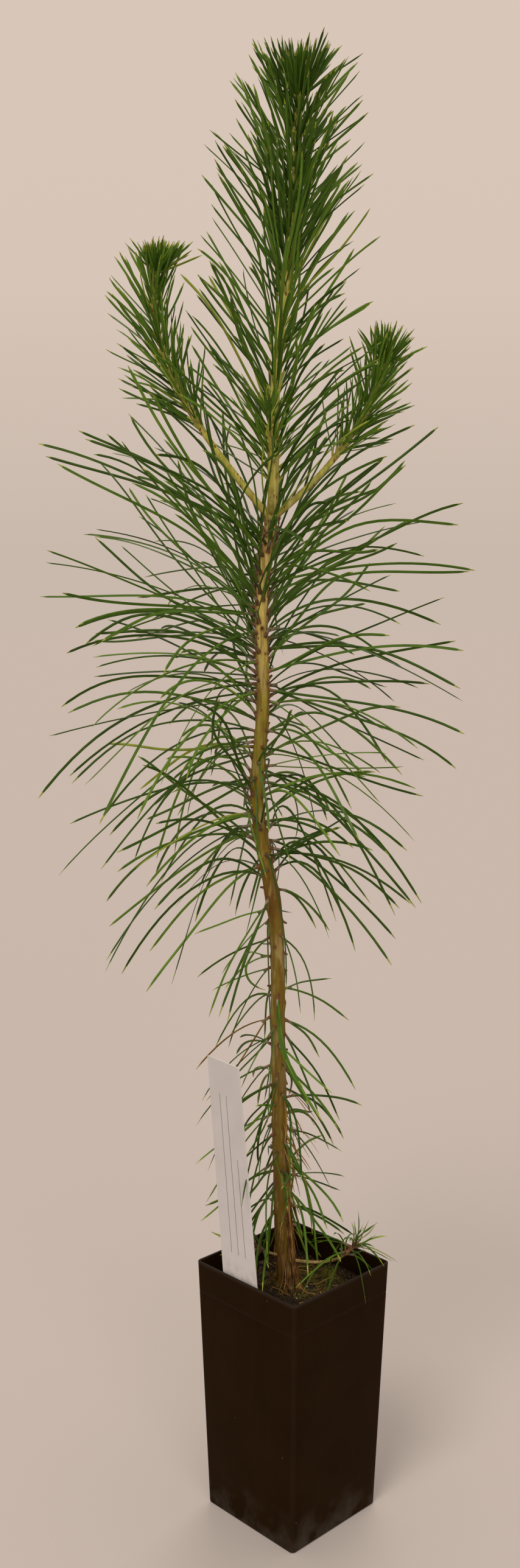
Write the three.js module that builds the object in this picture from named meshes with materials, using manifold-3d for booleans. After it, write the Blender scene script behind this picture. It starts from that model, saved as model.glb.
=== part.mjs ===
// A young Japanese black pine in a square nursery pot, in millimetres, +Z up.
// The origin is the middle of the pot's flat underside, and one corner of the pot faces -Y.

import * as THREE from 'three';
import * as BufferGeometryUtils from 'three/addons/utils/BufferGeometryUtils.js';
import Module from 'manifold-3d';

// Pot and soil
const POT_HEIGHT = 139.7;
const POT_TOP_SIDE = 73.0;
const POT_BASE_SIDE = 64.4;
const POT_WALL = 1.3;
const POT_FLOOR = 1.8;
const POT_CORNER_RADIUS = 2.6;
const CORNER_STEPS = 3;
const POT_EDGE = 1.2;
const POT_TURN = 43.2;
const DRAIN_SIDE = 11;
const DRAIN_OFFSET = 16;
const SOIL_LEVEL = 126;
const SOIL_PATCH_RADIUS = 8;
const SOIL_RELIEF = 1.6;
const SOIL_RINGS = [1, 0.72, 0.44];
const SOIL_SEED = 7;

// Clearance between pieces that touch on the real plant
const GAP = 0.3;

// Trunk: where its middle runs, how thick it is, and where it swells
const TRUNK_FOOT = SOIL_LEVEL + GAP;
const TRUNK_TIP = 726;
const TRUNK_LINE = [
  [126, -3.2, 0], [160, -6, 0.4], [250, -8.3, 1], [325, -10, 1], [362, -16.3, 0], [390, -20, -1],
  [437, -17, -0.4], [490, -17.8, 0.6], [537, -12.6, 0], [600, -11, -0.6], [650, -5.3, 0], [726, -0.6, 0.5],
];
const TRUNK_TAPER = [[126, 4.0], [330, 3.5], [515, 2.95], [545, 2.5], [640, 2.1], [660, 1.35], [726, 0.8]];
const TRUNK_SWELLS = [
  { height: 338, size: 0.5, spread: 9 },
  { height: 524, size: 0.5, spread: 7 },
  { height: 604, size: 0.3, spread: 14 },
];
const FLARE_SIZE = 1.5;
const FLARE_FADE = 5;
const FLARE_LOBES = 5;
const FLARE_LOBE_DEPTH = 0.28;
const TRUNK_POINT = 1;
const TRUNK_SIDES = 10;
const TRUNK_RINGS = 38;
const TRUNK_RING_SPREAD = 1.15;
const LEAST_RING_SPACE = 1;

// Boughs and basal shoots. Each leaves the trunk at a height, runs out in one direction (degrees
// from +X), and rises by rise[0] degrees at its foot and rise[1] at its tip. The first share of it,
// bare, is naked wood, and the rest carries needles.
const LIMBS = {
  bough_left: {
    height: 529, azimuth: 172, length: 135, rise: [50, 98], turnPower: 2.4, radius: [1.9, 1.0], bare: 0.36,
  },
  bough_right: {
    height: 529, azimuth: 10, length: 95, rise: [39, 74], turnPower: 1.5, radius: [1.8, 1.0], bare: 0.42,
  },
  bough_front: {
    height: 530, azimuth: 266, length: 52, rise: [50, 88], turnPower: 1, radius: [1.6, 1.0], bare: 0.5,
  },
  basal_shoot_right: {
    height: 141, azimuth: 352, length: 41, rise: [-8, 62], turnPower: 2, radius: [0.95, 0.7], bare: 0.72,
  },
  basal_shoot_left: {
    height: 143, azimuth: 195, length: 17, rise: [8, 38], turnPower: 1, radius: [0.8, 0.65], bare: 0.6,
  },
};
const LIMB_SIDES = 6;
const LIMB_STEPS = 12;
const LIMB_LINE_STEPS = 40;
const NEEDLE_FREE_SHARE = 0.04;

// Needles stand on a shoot in one spiral, each turned from the last by the same angle. Pairs of
// values hold at the low and the high end of a mass: length in mm, rise in degrees above the
// shoot's cross plane, drop as a share of the length. Each mass keeps within its reach of its own
// shoot, and between its lowest and highest point. A brush of needles ends a shoot. Needles are
// a little longer on the side towards -X, where the light came from.
const SPIRAL_TURN = 137.508;
const NEEDLE_RADIUS = 0.9;
const SMALL_NEEDLE_RADIUS = 0.7;
const LENGTH_SCATTER = 0.13;
const DROP_SCATTER = 0.7;
const SWAY = 0.12;
const LIGHT_SIDE_GAIN = 0.12;
const BRUSH_RISE = [58, 87];
const MASSES = {
  leader_needles_top: {
    shoot: 'trunk', span: [636, 720], count: 60, seed: 31, length: [64, 42], rise: [61, 50],
    riseScatter: 20, drop: [0.03, 0], reach: 47, low: 636, high: 753, brush: 20, sleeve: true,
  },
  leader_needles_lower: {
    shoot: 'trunk', span: [543, 634], count: 48, seed: 22, length: [90, 64], rise: [52, 60],
    riseScatter: 14, drop: [0.12, 0.05], reach: 68, low: 545, high: 712, sleeve: true,
  },
  bough_left_needles: {
    shoot: 'bough_left', count: 50, seed: 43, length: [42, 28], rise: [48, 62],
    riseScatter: 22, drop: [0.04, 0], reach: 38, low: 560, high: 664, brush: 6,
  },
  bough_right_needles: {
    shoot: 'bough_right', count: 38, seed: 54, length: [34, 24], rise: [46, 58],
    riseScatter: 24, drop: [0.04, 0], reach: 32, low: 545, high: 628, brush: 5,
  },
  bough_front_needles: {
    shoot: 'bough_front', count: 14, seed: 65, length: [30, 20], rise: [42, 60],
    riseScatter: 22, drop: [0.04, 0], reach: 30, low: 545, high: 600, brush: 4,
  },
  trunk_needles_upper: {
    shoot: 'trunk', span: [438, 523], count: 62, seed: 98, length: [105, 101], rise: [12, 46],
    riseScatter: 24, drop: [0.26, 0.16], reach: 116, low: 385, high: 600,
  },
  trunk_needles_lower: {
    shoot: 'trunk', span: [349, 436], count: 54, seed: 125, length: [64, 104], rise: [-8, 12],
    riseScatter: 26, drop: [0.64, 0.28], reach: 116, low: 285, high: 500,
  },
  foot_needles: {
    shoot: 'trunk', span: [152, 346], count: 46, seed: 99, length: [38, 44], rise: [-8, -16],
    riseScatter: 40, drop: [0.7, 0.5], reach: 46, low: 130, high: 360, ribSteps: 2,
  },
  basal_needles_right: {
    shoot: 'basal_shoot_right', count: 16, seed: 109, length: [30, 36], rise: [10, 34],
    riseScatter: 50, drop: [0.3, 0.25], reach: 40, low: 112, high: 190, brush: 4,
  },
  basal_needles_left: {
    shoot: 'basal_shoot_left', count: 7, seed: 110, length: [26, 30], rise: [10, 30],
    riseScatter: 40, drop: [0.35, 0.3], reach: 34, low: 129, high: 175, brush: 1,
  },
};
const BRUSH_LENGTH = [0.6, 0.8];
const LONG_NEEDLED_MASSES = /^(trunk|leader)/;
const LONG_NEEDLE = 75;
const LONG_NEEDLE_SHARES = [0, 0.4, 0.75, 1];
const SHORT_NEEDLE_SHARES = [0, 0.6, 1];
const NEEDLE_SIDES = 3;
const NEEDLE_TAPER = 0.8;
const LEAST_ROOT_SLOPE = 0.35;
const BEADS = 12;
const OWN_SPACING = 1.8;
const CURVED_LENGTH = 1.3;

// Core of a mass on the trunk: a thin sleeve on the leader, and lower down, where the bark shows,
// ribs that wind up from a collar, each through every third root
const RIBS = 3;
const RIB_WIDTH = 2.2;
const RIB_DEPTH = 1.5;
const ROOT_DEPTH = 0.35;
const COLLAR_HEIGHT = 1.8;
const COLLAR_WALL = 1.3;
const CAP_HEIGHT = 3.2;

// White plant label, stuck in the soil along one wall and leaning out over the rim. It stands
// LABEL_SHIFT off the middle of the wall and turns by LABEL_TWIST from the rim to its top.
const LABEL_WIDTH = 25.4;
const LABEL_LENGTH = 152.4;
const LABEL_THICKNESS = 0.7;
const LABEL_TOP = 260;
const LABEL_SHIFT = -4.8;
const LABEL_LEAN = 5.7;
const LABEL_TWIST = -5;
const LABEL_RINGS = 6;

const UP = new THREE.Vector3(0, 0, 1);
const DOWN = new THREE.Vector3(0, 0, -1);
const rad = THREE.MathUtils.degToRad;
const mix = THREE.MathUtils.lerp;

const wasm = await Module();
wasm.setup();

// Repeatable numbers from 0 to 1 for a seed
function randomNumbers(seed) {
  let state = seed >>> 0;
  return () => {
    state = (state + 0x6d2b79f5) >>> 0;
    let t = Math.imul(state ^ (state >>> 15), state | 1);
    t ^= t + Math.imul(t ^ (t >>> 7), t | 61);
    return ((t ^ (t >>> 14)) >>> 0) / 4294967296;
  };
}

// Smooth value at a height from a table of [height, value, ...] rows
function smoothAt(rows, height, column) {
  const last = rows.length - 1;
  const h = Math.min(Math.max(height, rows[0][0]), rows[last][0]);
  let i = 0;
  while (i < last - 1 && h > rows[i + 1][0]) {
    i += 1;
  }
  const slope = (k) => {
    const a = Math.max(k - 1, 0);
    const b = Math.min(k + 1, last);
    return (rows[b][column] - rows[a][column]) / (rows[b][0] - rows[a][0]);
  };
  const width = rows[i + 1][0] - rows[i][0];
  const t = (h - rows[i][0]) / width;
  const t2 = t * t;
  const t3 = t2 * t;
  return (2 * t3 - 3 * t2 + 1) * rows[i][column] + (t3 - 2 * t2 + t) * width * slope(i)
    + (3 * t2 - 2 * t3) * rows[i + 1][column] + (t3 - t2) * width * slope(i + 1);
}

// Straight-line value at a height from the same kind of table
function linearAt(rows, height) {
  let i = 0;
  while (i < rows.length - 2 && height > rows[i + 1][0]) {
    i += 1;
  }
  const t = (height - rows[i][0]) / (rows[i + 1][0] - rows[i][0]);
  return mix(rows[i][1], rows[i + 1][1], Math.min(Math.max(t, 0), 1));
}

// Closed body through rings that all have the same number of points. An open run of rings gets
// flat ends, or an end point where a ring has one point only; a looped run closes on itself.
function loft(rings, looped = false) {
  const positions = [];
  const starts = [];
  for (const ring of rings) {
    starts.push(positions.length / 3);
    for (const p of ring) {
      positions.push(p.x, p.y, p.z);
    }
  }
  const indices = [];
  const count = Math.max(...rings.map((ring) => ring.length));
  const vertex = (r, k) => starts[r] + (rings[r].length === 1 ? 0 : k % count);
  const bands = looped ? rings.length : rings.length - 1;
  for (let r = 0; r < bands; r += 1) {
    const next = (r + 1) % rings.length;
    for (let k = 0; k < count; k += 1) {
      const [a, b, c, d] = [vertex(r, k), vertex(r, k + 1), vertex(next, k + 1), vertex(next, k)];
      if (a !== b) indices.push(a, b, d);
      if (c !== d) indices.push(b, c, d);
    }
  }
  const first = starts[0];
  const last = starts[rings.length - 1];
  for (let k = 1; !looped && k < count - 1; k += 1) {
    if (rings[0].length > 1) indices.push(first, first + k + 1, first + k);
    if (rings[rings.length - 1].length > 1) indices.push(last, last + k, last + k + 1);
  }
  const geometry = new THREE.BufferGeometry();
  geometry.setAttribute('position', new THREE.Float32BufferAttribute(positions, 3));
  geometry.setIndex(indices);
  return geometry;
}

function toSolid(geometry) {
  const bare = geometry.clone();
  bare.deleteAttribute('normal');
  bare.deleteAttribute('uv');
  const merged = BufferGeometryUtils.mergeVertices(bare, 1e-5);
  return new wasm.Manifold(new wasm.Mesh({
    numProp: 3,
    vertProperties: Float32Array.from(merged.attributes.position.array),
    triVerts: Uint32Array.from(merged.index.array),
  }));
}

function toGeometry(solid) {
  const found = solid.getMesh();
  const geometry = new THREE.BufferGeometry();
  geometry.setAttribute('position', new THREE.BufferAttribute(Float32Array.from(found.vertProperties), 3));
  geometry.setIndex(new THREE.BufferAttribute(Uint32Array.from(found.triVerts), 1));
  return geometry;
}

// Joins solids two by two, then keeps the one body that holds nearly all of the volume
function fuse(solids) {
  let list = solids;
  while (list.length > 1) {
    const joined = [];
    for (let i = 0; i < list.length; i += 2) {
      joined.push(i + 1 < list.length ? list[i].add(list[i + 1]) : list[i]);
    }
    list = joined;
  }
  const bodies = list[0].decompose();
  return bodies.reduce((best, body) => (body.volume() > best.volume() ? body : best));
}

// Square outline with round corners, turned about the Z axis
function roundedSquare(side, cornerRadius, height) {
  const turn = rad(POT_TURN);
  const inset = side / 2 - cornerRadius;
  const points = [];
  for (let corner = 0; corner < 4; corner += 1) {
    const middle = new THREE.Vector2(inset * Math.SQRT2, 0)
      .rotateAround(new THREE.Vector2(), rad(45 + 90 * corner) + turn);
    for (let k = 0; k <= CORNER_STEPS; k += 1) {
      const angle = turn + rad(90 * corner + (90 * k) / CORNER_STEPS);
      points.push(new THREE.Vector3(
        middle.x + cornerRadius * Math.cos(angle),
        middle.y + cornerRadius * Math.sin(angle),
        height,
      ));
    }
  }
  return points;
}

function potSideAt(height) {
  return mix(POT_BASE_SIDE, POT_TOP_SIDE, height / POT_HEIGHT);
}

function innerRing(height, clearance = 0) {
  const inset = POT_WALL + clearance;
  return roundedSquare(potSideAt(height) - 2 * inset, POT_CORNER_RADIUS - inset / 2, height);
}

function makePot() {
  const outer = (height, inset) => roundedSquare(potSideAt(height) - 2 * inset, POT_CORNER_RADIUS, height);
  let pot = toSolid(loft([
    outer(0, POT_EDGE), outer(POT_EDGE, 0), outer(POT_HEIGHT, 0),
    innerRing(POT_HEIGHT), innerRing(POT_FLOOR),
  ]));
  for (let k = 0; k < 4; k += 1) {
    const hole = new THREE.BoxGeometry(DRAIN_SIDE, DRAIN_SIDE, 4 * POT_FLOOR);
    hole.translate(DRAIN_OFFSET, DRAIN_OFFSET, 0);
    hole.rotateZ(rad(POT_TURN + 90 * k));
    pot = pot.subtract(toSolid(hole));
  }
  return toGeometry(pot);
}

// The soil fills the pot to SOIL_LEVEL, rough on top, flat round the trunk, with a slot for the label
function makeSoil() {
  const random = randomNumbers(SOIL_SEED);
  const top = trunkPoint(SOIL_LEVEL);
  const rough = (share) => innerRing(SOIL_LEVEL, GAP).map((p) => new THREE.Vector3(
    mix(top.x, p.x, share),
    mix(top.y, p.y, share),
    SOIL_LEVEL - SOIL_RELIEF * random(),
  ));
  const patch = innerRing(SOIL_LEVEL, GAP).map((p) => {
    const out = new THREE.Vector3(p.x - top.x, p.y - top.y, 0).setLength(SOIL_PATCH_RADIUS);
    return new THREE.Vector3(top.x + out.x, top.y + out.y, SOIL_LEVEL);
  });
  const body = toSolid(loft([
    innerRing(POT_FLOOR + GAP, GAP), ...SOIL_RINGS.map(rough), patch,
  ]));
  return toGeometry(body.subtract(toSolid(labelBody(GAP))));
}

// Middle of the label and the direction of its width at a height
function labelAt(height) {
  const share = (height - POT_HEIGHT) / (LABEL_TOP - POT_HEIGHT);
  const wallTurn = rad(POT_TURN - 90);
  const along = new THREE.Vector2(Math.cos(wallTurn), Math.sin(wallTurn));
  const outward = new THREE.Vector2(along.y, -along.x);
  const atRim = POT_TOP_SIDE / 2 - POT_WALL - 1.5 * GAP - LABEL_THICKNESS / 2;
  const out = atRim + (height - POT_HEIGHT) * Math.tan(rad(LABEL_LEAN));
  const middle = along.clone().multiplyScalar(LABEL_SHIFT).addScaledVector(outward, out);
  const width = along.clone().rotateAround(new THREE.Vector2(), rad(LABEL_TWIST * Math.max(share, 0)));
  return { middle, width, across: new THREE.Vector2(-width.y, width.x) };
}

// The label as a flat bar that leans and turns a little on its way up, grown by a clearance
function labelBody(clearance) {
  const foot = LABEL_TOP - LABEL_LENGTH;
  const half = LABEL_WIDTH / 2 + clearance;
  const thick = LABEL_THICKNESS / 2 + clearance;
  const rings = [];
  for (let k = 0; k < LABEL_RINGS; k += 1) {
    const height = mix(foot - clearance, LABEL_TOP + clearance, k / (LABEL_RINGS - 1));
    const { middle, width, across } = labelAt(height);
    rings.push([[-1, -1], [1, -1], [1, 1], [-1, 1]].map(([a, b]) => new THREE.Vector3(
      middle.x + a * half * width.x + b * thick * across.x,
      middle.y + a * half * width.y + b * thick * across.y,
      height,
    )));
  }
  return loft(rings);
}

function trunkPoint(height) {
  return new THREE.Vector3(smoothAt(TRUNK_LINE, height, 1), smoothAt(TRUNK_LINE, height, 2), height);
}

function trunkRadius(height) {
  let radius = linearAt(TRUNK_TAPER, height) + FLARE_SIZE * Math.exp((TRUNK_FOOT - height) / FLARE_FADE);
  for (const swell of TRUNK_SWELLS) {
    radius += swell.size * Math.exp(-(((height - swell.height) / swell.spread) ** 2));
  }
  return radius;
}

// Level ring round the trunk's middle; the root flare makes lobes near the foot
function trunkRing(height, extra, sides = TRUNK_SIDES) {
  const middle = trunkPoint(height);
  const flare = FLARE_LOBE_DEPTH * Math.exp((TRUNK_FOOT - height) / FLARE_FADE);
  const ring = [];
  for (let k = 0; k < sides; k += 1) {
    const angle = (2 * Math.PI * k) / sides;
    const radius = trunkRadius(height) * (1 + flare * Math.cos(FLARE_LOBES * angle)) + extra;
    ring.push(new THREE.Vector3(
      middle.x + radius * Math.cos(angle),
      middle.y + radius * Math.sin(angle),
      height,
    ));
  }
  return ring;
}

// Heights of the trunk's rings from low to high, both ends included
function trunkHeights(low, high) {
  const heights = [low];
  for (let k = 0; k < TRUNK_RINGS; k += 1) {
    const height = trunkRingHeight(k);
    if (height > low + LEAST_RING_SPACE && height < high - LEAST_RING_SPACE) heights.push(height);
  }
  heights.push(high);
  return heights;
}

// The rings stand closer together near the foot, for the flare
function trunkRingHeight(k) {
  return mix(TRUNK_FOOT, TRUNK_TIP, (k / (TRUNK_RINGS - 1)) ** TRUNK_RING_SPREAD);
}

function trunkBody(extra) {
  const rings = trunkHeights(TRUNK_FOOT - extra, TRUNK_TIP).map((height) => trunkRing(height, extra));
  rings.push([trunkPoint(TRUNK_TIP + TRUNK_POINT + extra)]);
  return loft(rings);
}

// Ring of points square to a direction
function ringAround(middle, direction, side, radius, sides) {
  const lift = new THREE.Vector3().crossVectors(direction, side).normalize();
  const ring = [];
  for (let k = 0; k < sides; k += 1) {
    const angle = (2 * Math.PI * k) / sides;
    ring.push(middle.clone()
      .addScaledVector(side, radius * Math.cos(angle))
      .addScaledVector(lift, radius * Math.sin(angle)));
  }
  return ring;
}

// The whole line of a bough or basal shoot, from the trunk's middle to its tip
function limbLine(limb) {
  const out = new THREE.Vector3(Math.cos(rad(limb.azimuth)), Math.sin(rad(limb.azimuth)), 0);
  const side = new THREE.Vector3(-out.y, out.x, 0);
  const headingAt = (share) => {
    const rise = rad(mix(limb.rise[0], limb.rise[1], share ** limb.turnPower));
    return out.clone().multiplyScalar(Math.cos(rise)).addScaledVector(UP, Math.sin(rise));
  };
  const at = (share) => {
    const point = trunkPoint(limb.height);
    for (let k = 0; k < LIMB_LINE_STEPS; k += 1) {
      const heading = headingAt((share * (k + 0.5)) / LIMB_LINE_STEPS);
      point.addScaledVector(heading, (limb.length * share) / LIMB_LINE_STEPS);
    }
    return { point, direction: headingAt(share), side, radius: mix(limb.radius[0], limb.radius[1], share) };
  };
  return { at, limb };
}

function trunkLine() {
  const at = (height) => ({
    point: trunkPoint(height),
    direction: trunkPoint(height + 1).sub(trunkPoint(height - 1)).normalize(),
    side: new THREE.Vector3(0, 1, 0),
    radius: trunkRadius(height),
  });
  return { at };
}

function limbBody(line, from, to, tipped) {
  const rings = [];
  const steps = Math.max(3, Math.round(LIMB_STEPS * (to - from)));
  for (let k = 0; k <= steps; k += 1) {
    const station = line.at(mix(from, to, k / steps));
    rings.push(ringAround(station.point, station.direction, station.side, station.radius, LIMB_SIDES));
  }
  if (tipped) {
    const end = line.at(to);
    rings.push([end.point.clone().addScaledVector(end.direction, 2 * end.radius)]);
  }
  return loft(rings);
}

// Direction straight out of a shoot at an angle round it
function outwardAt(station, turn) {
  const lift = new THREE.Vector3().crossVectors(station.direction, station.side).normalize();
  return station.side.clone().multiplyScalar(Math.cos(turn)).addScaledVector(lift, Math.sin(turn));
}

// One needle of the rule: its root, first direction, length, drop and sway
function needleOf(mass, line, k, random) {
  const share = (k + 0.5) / mass.count;
  const span = mass.span ?? [line.limb.bare + NEEDLE_FREE_SHARE, 1];
  const place = mix(span[0], span[1], share);
  const station = line.at(place);
  const outward = outwardAt(station, rad(SPIRAL_TURN * k + mass.seed));
  const rise = rad(mix(mass.rise[0], mass.rise[1], share) + mass.riseScatter * (random() - 0.5));
  const scatter = 1 + LENGTH_SCATTER * (2 * random() - 1.2);
  const length = mix(mass.length[0], mass.length[1], share) * scatter * (1 - LIGHT_SIDE_GAIN * outward.x);
  const drop = mix(mass.drop[0], mass.drop[1], share) * (1 + DROP_SCATTER * (2 * random() - 1));
  const sway = SWAY * (2 * random() - 1);
  const direction = outward.clone().multiplyScalar(Math.cos(rise))
    .addScaledVector(station.direction, Math.sin(rise));
  return { station, outward, direction, length, drop, sway };
}

// A needle of the brush at the tip of a shoot, which stands nearly along the shoot
function brushNeedleOf(mass, line, k, random) {
  const place = mass.span ? TRUNK_TIP + CAP_HEIGHT - COLLAR_WALL / 2 : 1;
  const station = line.at(place);
  const outward = outwardAt(station, rad(SPIRAL_TURN * k + 2 * mass.seed));
  const rise = rad(mix(BRUSH_RISE[0], BRUSH_RISE[1], Math.sqrt((k + 0.5) / mass.brush)));
  const length = mass.length[1] * mix(BRUSH_LENGTH[0], BRUSH_LENGTH[1], random());
  const direction = outward.clone().multiplyScalar(Math.cos(rise))
    .addScaledVector(station.direction, Math.sin(rise));
  return { station, outward, direction, length, drop: 0, sway: 0, onTip: true };
}

// Points along a needle: straight ahead, with the drop and the sway growing as the square
function needlePoints(needle, root, shares) {
  const across = new THREE.Vector3().crossVectors(needle.direction, UP).normalize();
  return shares.map((s) => root.clone()
    .addScaledVector(needle.direction, needle.length * s)
    .addScaledVector(DOWN, needle.length * needle.drop * s * s)
    .addScaledVector(across, needle.length * needle.sway * s * s));
}

// Three-sided needle. Its first ring lies flat in the shoot's side where a side is given, so that
// it stays in the wall.
function needleBody(points, outward, radius) {
  const rings = [];
  for (let k = 0; k < points.length - 1; k += 1) {
    const before = points[Math.max(k - 1, 0)];
    const direction = points[k + 1].clone().sub(before).normalize();
    const reference = Math.abs(direction.z) > 0.97 ? new THREE.Vector3(1, 0, 0) : UP;
    const side = new THREE.Vector3().crossVectors(reference, direction).normalize();
    const thickness = k === points.length - 2 ? NEEDLE_TAPER * radius : radius;
    const ring = ringAround(points[k], direction, side, thickness, NEEDLE_SIDES);
    if (k === 0 && outward) {
      const slope = Math.max(direction.dot(outward), LEAST_ROOT_SLOPE);
      for (const p of ring) {
        const depth = p.clone().sub(points[0]).dot(outward);
        p.addScaledVector(direction, -depth / slope);
      }
    }
    rings.push(ring);
  }
  rings.push([points[points.length - 1]]);
  return loft(rings);
}

// Shortest distance between two straight stretches
function stretchDistance(p1, q1, p2, q2) {
  const d1 = q1.clone().sub(p1);
  const d2 = q2.clone().sub(p2);
  const r = p1.clone().sub(p2);
  const [a, e, f, c, b] = [d1.dot(d1), d2.dot(d2), d2.dot(r), d1.dot(r), d1.dot(d2)];
  const clamp = (v) => Math.min(Math.max(v, 0), 1);
  const spread = a * e - b * b;
  let s = spread > 1e-9 ? clamp((b * f - c * e) / spread) : 0;
  let t = (b * s + f) / e;
  if (t < 0 || t > 1) {
    t = clamp(t);
    s = clamp((b * t - c) / a);
  }
  return p1.clone().addScaledVector(d1, s).distanceTo(p2.clone().addScaledVector(d2, t));
}

// How far two runs of points come to each other
function runDistance(runA, runB, enough) {
  let least = Infinity;
  for (let i = 0; i < runA.length - 1 && least > enough; i += 1) {
    for (let j = 0; j < runB.length - 1 && least > enough; j += 1) {
      least = Math.min(least, stretchDistance(runA[i], runA[i + 1], runB[j], runB[j + 1]));
    }
  }
  return least;
}

// What every needle has to stay clear of: the trunk with its ribs, and the limbs
function limbRuns(lines) {
  const runs = [];
  const heights = trunkHeights(TRUNK_FOOT, TRUNK_TIP);
  for (let k = 0; k < heights.length - 1; k += 1) {
    runs.push({
      shoot: 'trunk',
      points: [trunkPoint(heights[k]), trunkPoint(heights[k + 1])],
      radius: Math.max(trunkRadius(heights[k]), trunkRadius(heights[k + 1])) + 2 * GAP + RIB_DEPTH,
    });
  }
  for (const [name, line] of Object.entries(lines)) {
    for (let k = 0; line.limb && k < LIMB_STEPS; k += 1) {
      const [a, b] = [line.at(k / LIMB_STEPS), line.at((k + 1) / LIMB_STEPS)];
      runs.push({ shoot: name, points: [a.point, b.point], radius: a.radius + GAP });
    }
  }
  return runs;
}

// Clear of the pot's wall, the soil and the label
function clearOfPot(p, radius) {
  const margin = radius + 2 * GAP;
  const local = new THREE.Vector2(p.x, p.y).rotateAround(new THREE.Vector2(), -rad(POT_TURN));
  const out = Math.max(Math.abs(local.x), Math.abs(local.y));
  const half = potSideAt(p.z) / 2;
  const inWall = p.z < POT_HEIGHT + margin && out > half - POT_WALL - margin && out < half + margin;
  const inSoil = p.z < SOIL_LEVEL + margin && out < half;
  if (inWall || inSoil) return false;
  const { middle, width, across } = labelAt(p.z);
  const offset = new THREE.Vector2(p.x, p.y).sub(middle);
  const beside = Math.abs(offset.dot(width)) > LABEL_WIDTH / 2 + margin;
  const before = Math.abs(offset.dot(across)) > LABEL_THICKNESS / 2 + margin;
  return p.z > LABEL_TOP + margin || beside || before;
}

// Evenly spaced points on each straight stretch of a needle
function beadsOf(points) {
  const beads = [];
  for (let i = 0; i < points.length - 1; i += 1) {
    for (let k = 1; k <= BEADS; k += 1) {
      beads.push(points[i].clone().lerp(points[i + 1], k / BEADS));
    }
  }
  return beads;
}

// A needle is kept if it stays in its mass's space and touches no limb and no other mass
function fits(points, beads, name, mass, line, radius, runs, placed) {
  const inSpace = beads.every((p) => {
    const near = line.limb ? line.at(1).point.distanceTo(p) : trunkPoint(p.z).distanceTo(p);
    const reach = line.limb ? mass.reach + line.limb.length * (1 - line.limb.bare) : mass.reach;
    return p.z > mass.low && p.z < mass.high && near < reach;
  });
  if (!inSpace || !beads.every((p) => clearOfPot(p, radius))) return false;
  const free = points.slice(1);
  const clearOfLimbs = runs.every((run) => {
    const own = run.shoot === mass.shoot;
    return runDistance(own ? free : points, run.points, run.radius + radius) > run.radius + radius;
  });
  return clearOfLimbs && placed.every((other) => {
    const own = other.name === name;
    const apart = own ? OWN_SPACING * radius : radius + other.radius + GAP;
    const far = other.middle.distanceTo(points[1]) > other.length + CURVED_LENGTH * Math.max(...mass.length);
    const theirs = own ? other.points.slice(1) : other.points;
    return far || runDistance(own ? free : points, theirs, apart) > apart;
  });
}

// Collar round a stretch of the trunk. A capped one runs on over the trunk's tip and closes there.
function collarBody(low, high, capped) {
  const facetGap = GAP / Math.cos(Math.PI / TRUNK_SIDES);
  const heights = trunkHeights(low, high);
  const outer = heights.map((height) => trunkRing(height, facetGap + COLLAR_WALL));
  const inner = heights.map((height) => trunkRing(height, facetGap)).reverse();
  if (!capped) return loft([...outer, ...inner], true);
  const lid = outer[outer.length - 1].map((p) => p.clone().setZ(high + CAP_HEIGHT));
  const ceiling = [trunkPoint(high + TRUNK_POINT + 2 * GAP)];
  return loft([ceiling, ...inner, ...outer, lid, [trunkPoint(high + CAP_HEIGHT)]]);
}

// How far the ribs' inner edge stands off the trunk's middle, so that their chords stay clear of it
function ribInner(mass, radius) {
  const turnPerStep = ((SPIRAL_TURN * RIBS) % 360) / (mass.ribSteps ?? 1);
  return (radius + 2 * GAP) / Math.cos(rad(turnPerStep / 2));
}

// One rib, from the collar through the roots number first, first + RIBS, first + 2 * RIBS and so on
function ribBody(mass, line, first) {
  const [low, high] = mass.span;
  const perNeedle = (high - low) / mass.count;
  const turnPerNeedle = ((SPIRAL_TURN * RIBS) % 360) / RIBS;
  const step = RIBS / (mass.ribSteps ?? 1);
  const foot = COLLAR_HEIGHT / 2 / perNeedle - 0.5;
  const places = [foot];
  for (let k = first - 2 * RIBS; k < mass.count; k += step) {
    if (k > foot + 0.1 * step) places.push(k);
  }
  const spot = (k) => {
    const station = line.at(low + perNeedle * (k + 0.5));
    const turn = rad(SPIRAL_TURN * first + turnPerNeedle * (k - first) + mass.seed);
    const outward = outwardAt(station, turn);
    const inner = station.point.clone().addScaledVector(outward, ribInner(mass, station.radius));
    return { outward, inner };
  };
  return loft(places.map((k) => {
    const { outward, inner } = spot(k);
    const along = spot(k + 0.5).inner.sub(spot(k - 0.5).inner).normalize();
    const across = new THREE.Vector3().crossVectors(outward, along).setLength(RIB_WIDTH / 2);
    const ridge = inner.clone().addScaledVector(outward, RIB_DEPTH);
    return [inner.clone().add(across), ridge, inner.clone().sub(across)];
  }));
}

// The core that joins a mass's needles into one body
function coreSolids(mass, line) {
  if (line.limb) {
    const gapShare = GAP / line.limb.length;
    return [toSolid(limbBody(line, line.limb.bare + gapShare, 1, true))];
  }
  const [low, high] = mass.span;
  if (mass.sleeve) return [toSolid(collarBody(low, mass.brush ? TRUNK_TIP : high, Boolean(mass.brush)))];
  const solids = [toSolid(collarBody(low, low + COLLAR_HEIGHT, false))];
  for (let k = 0; k < RIBS; k += 1) {
    solids.push(toSolid(ribBody(mass, line, k)));
  }
  return solids;
}

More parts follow.
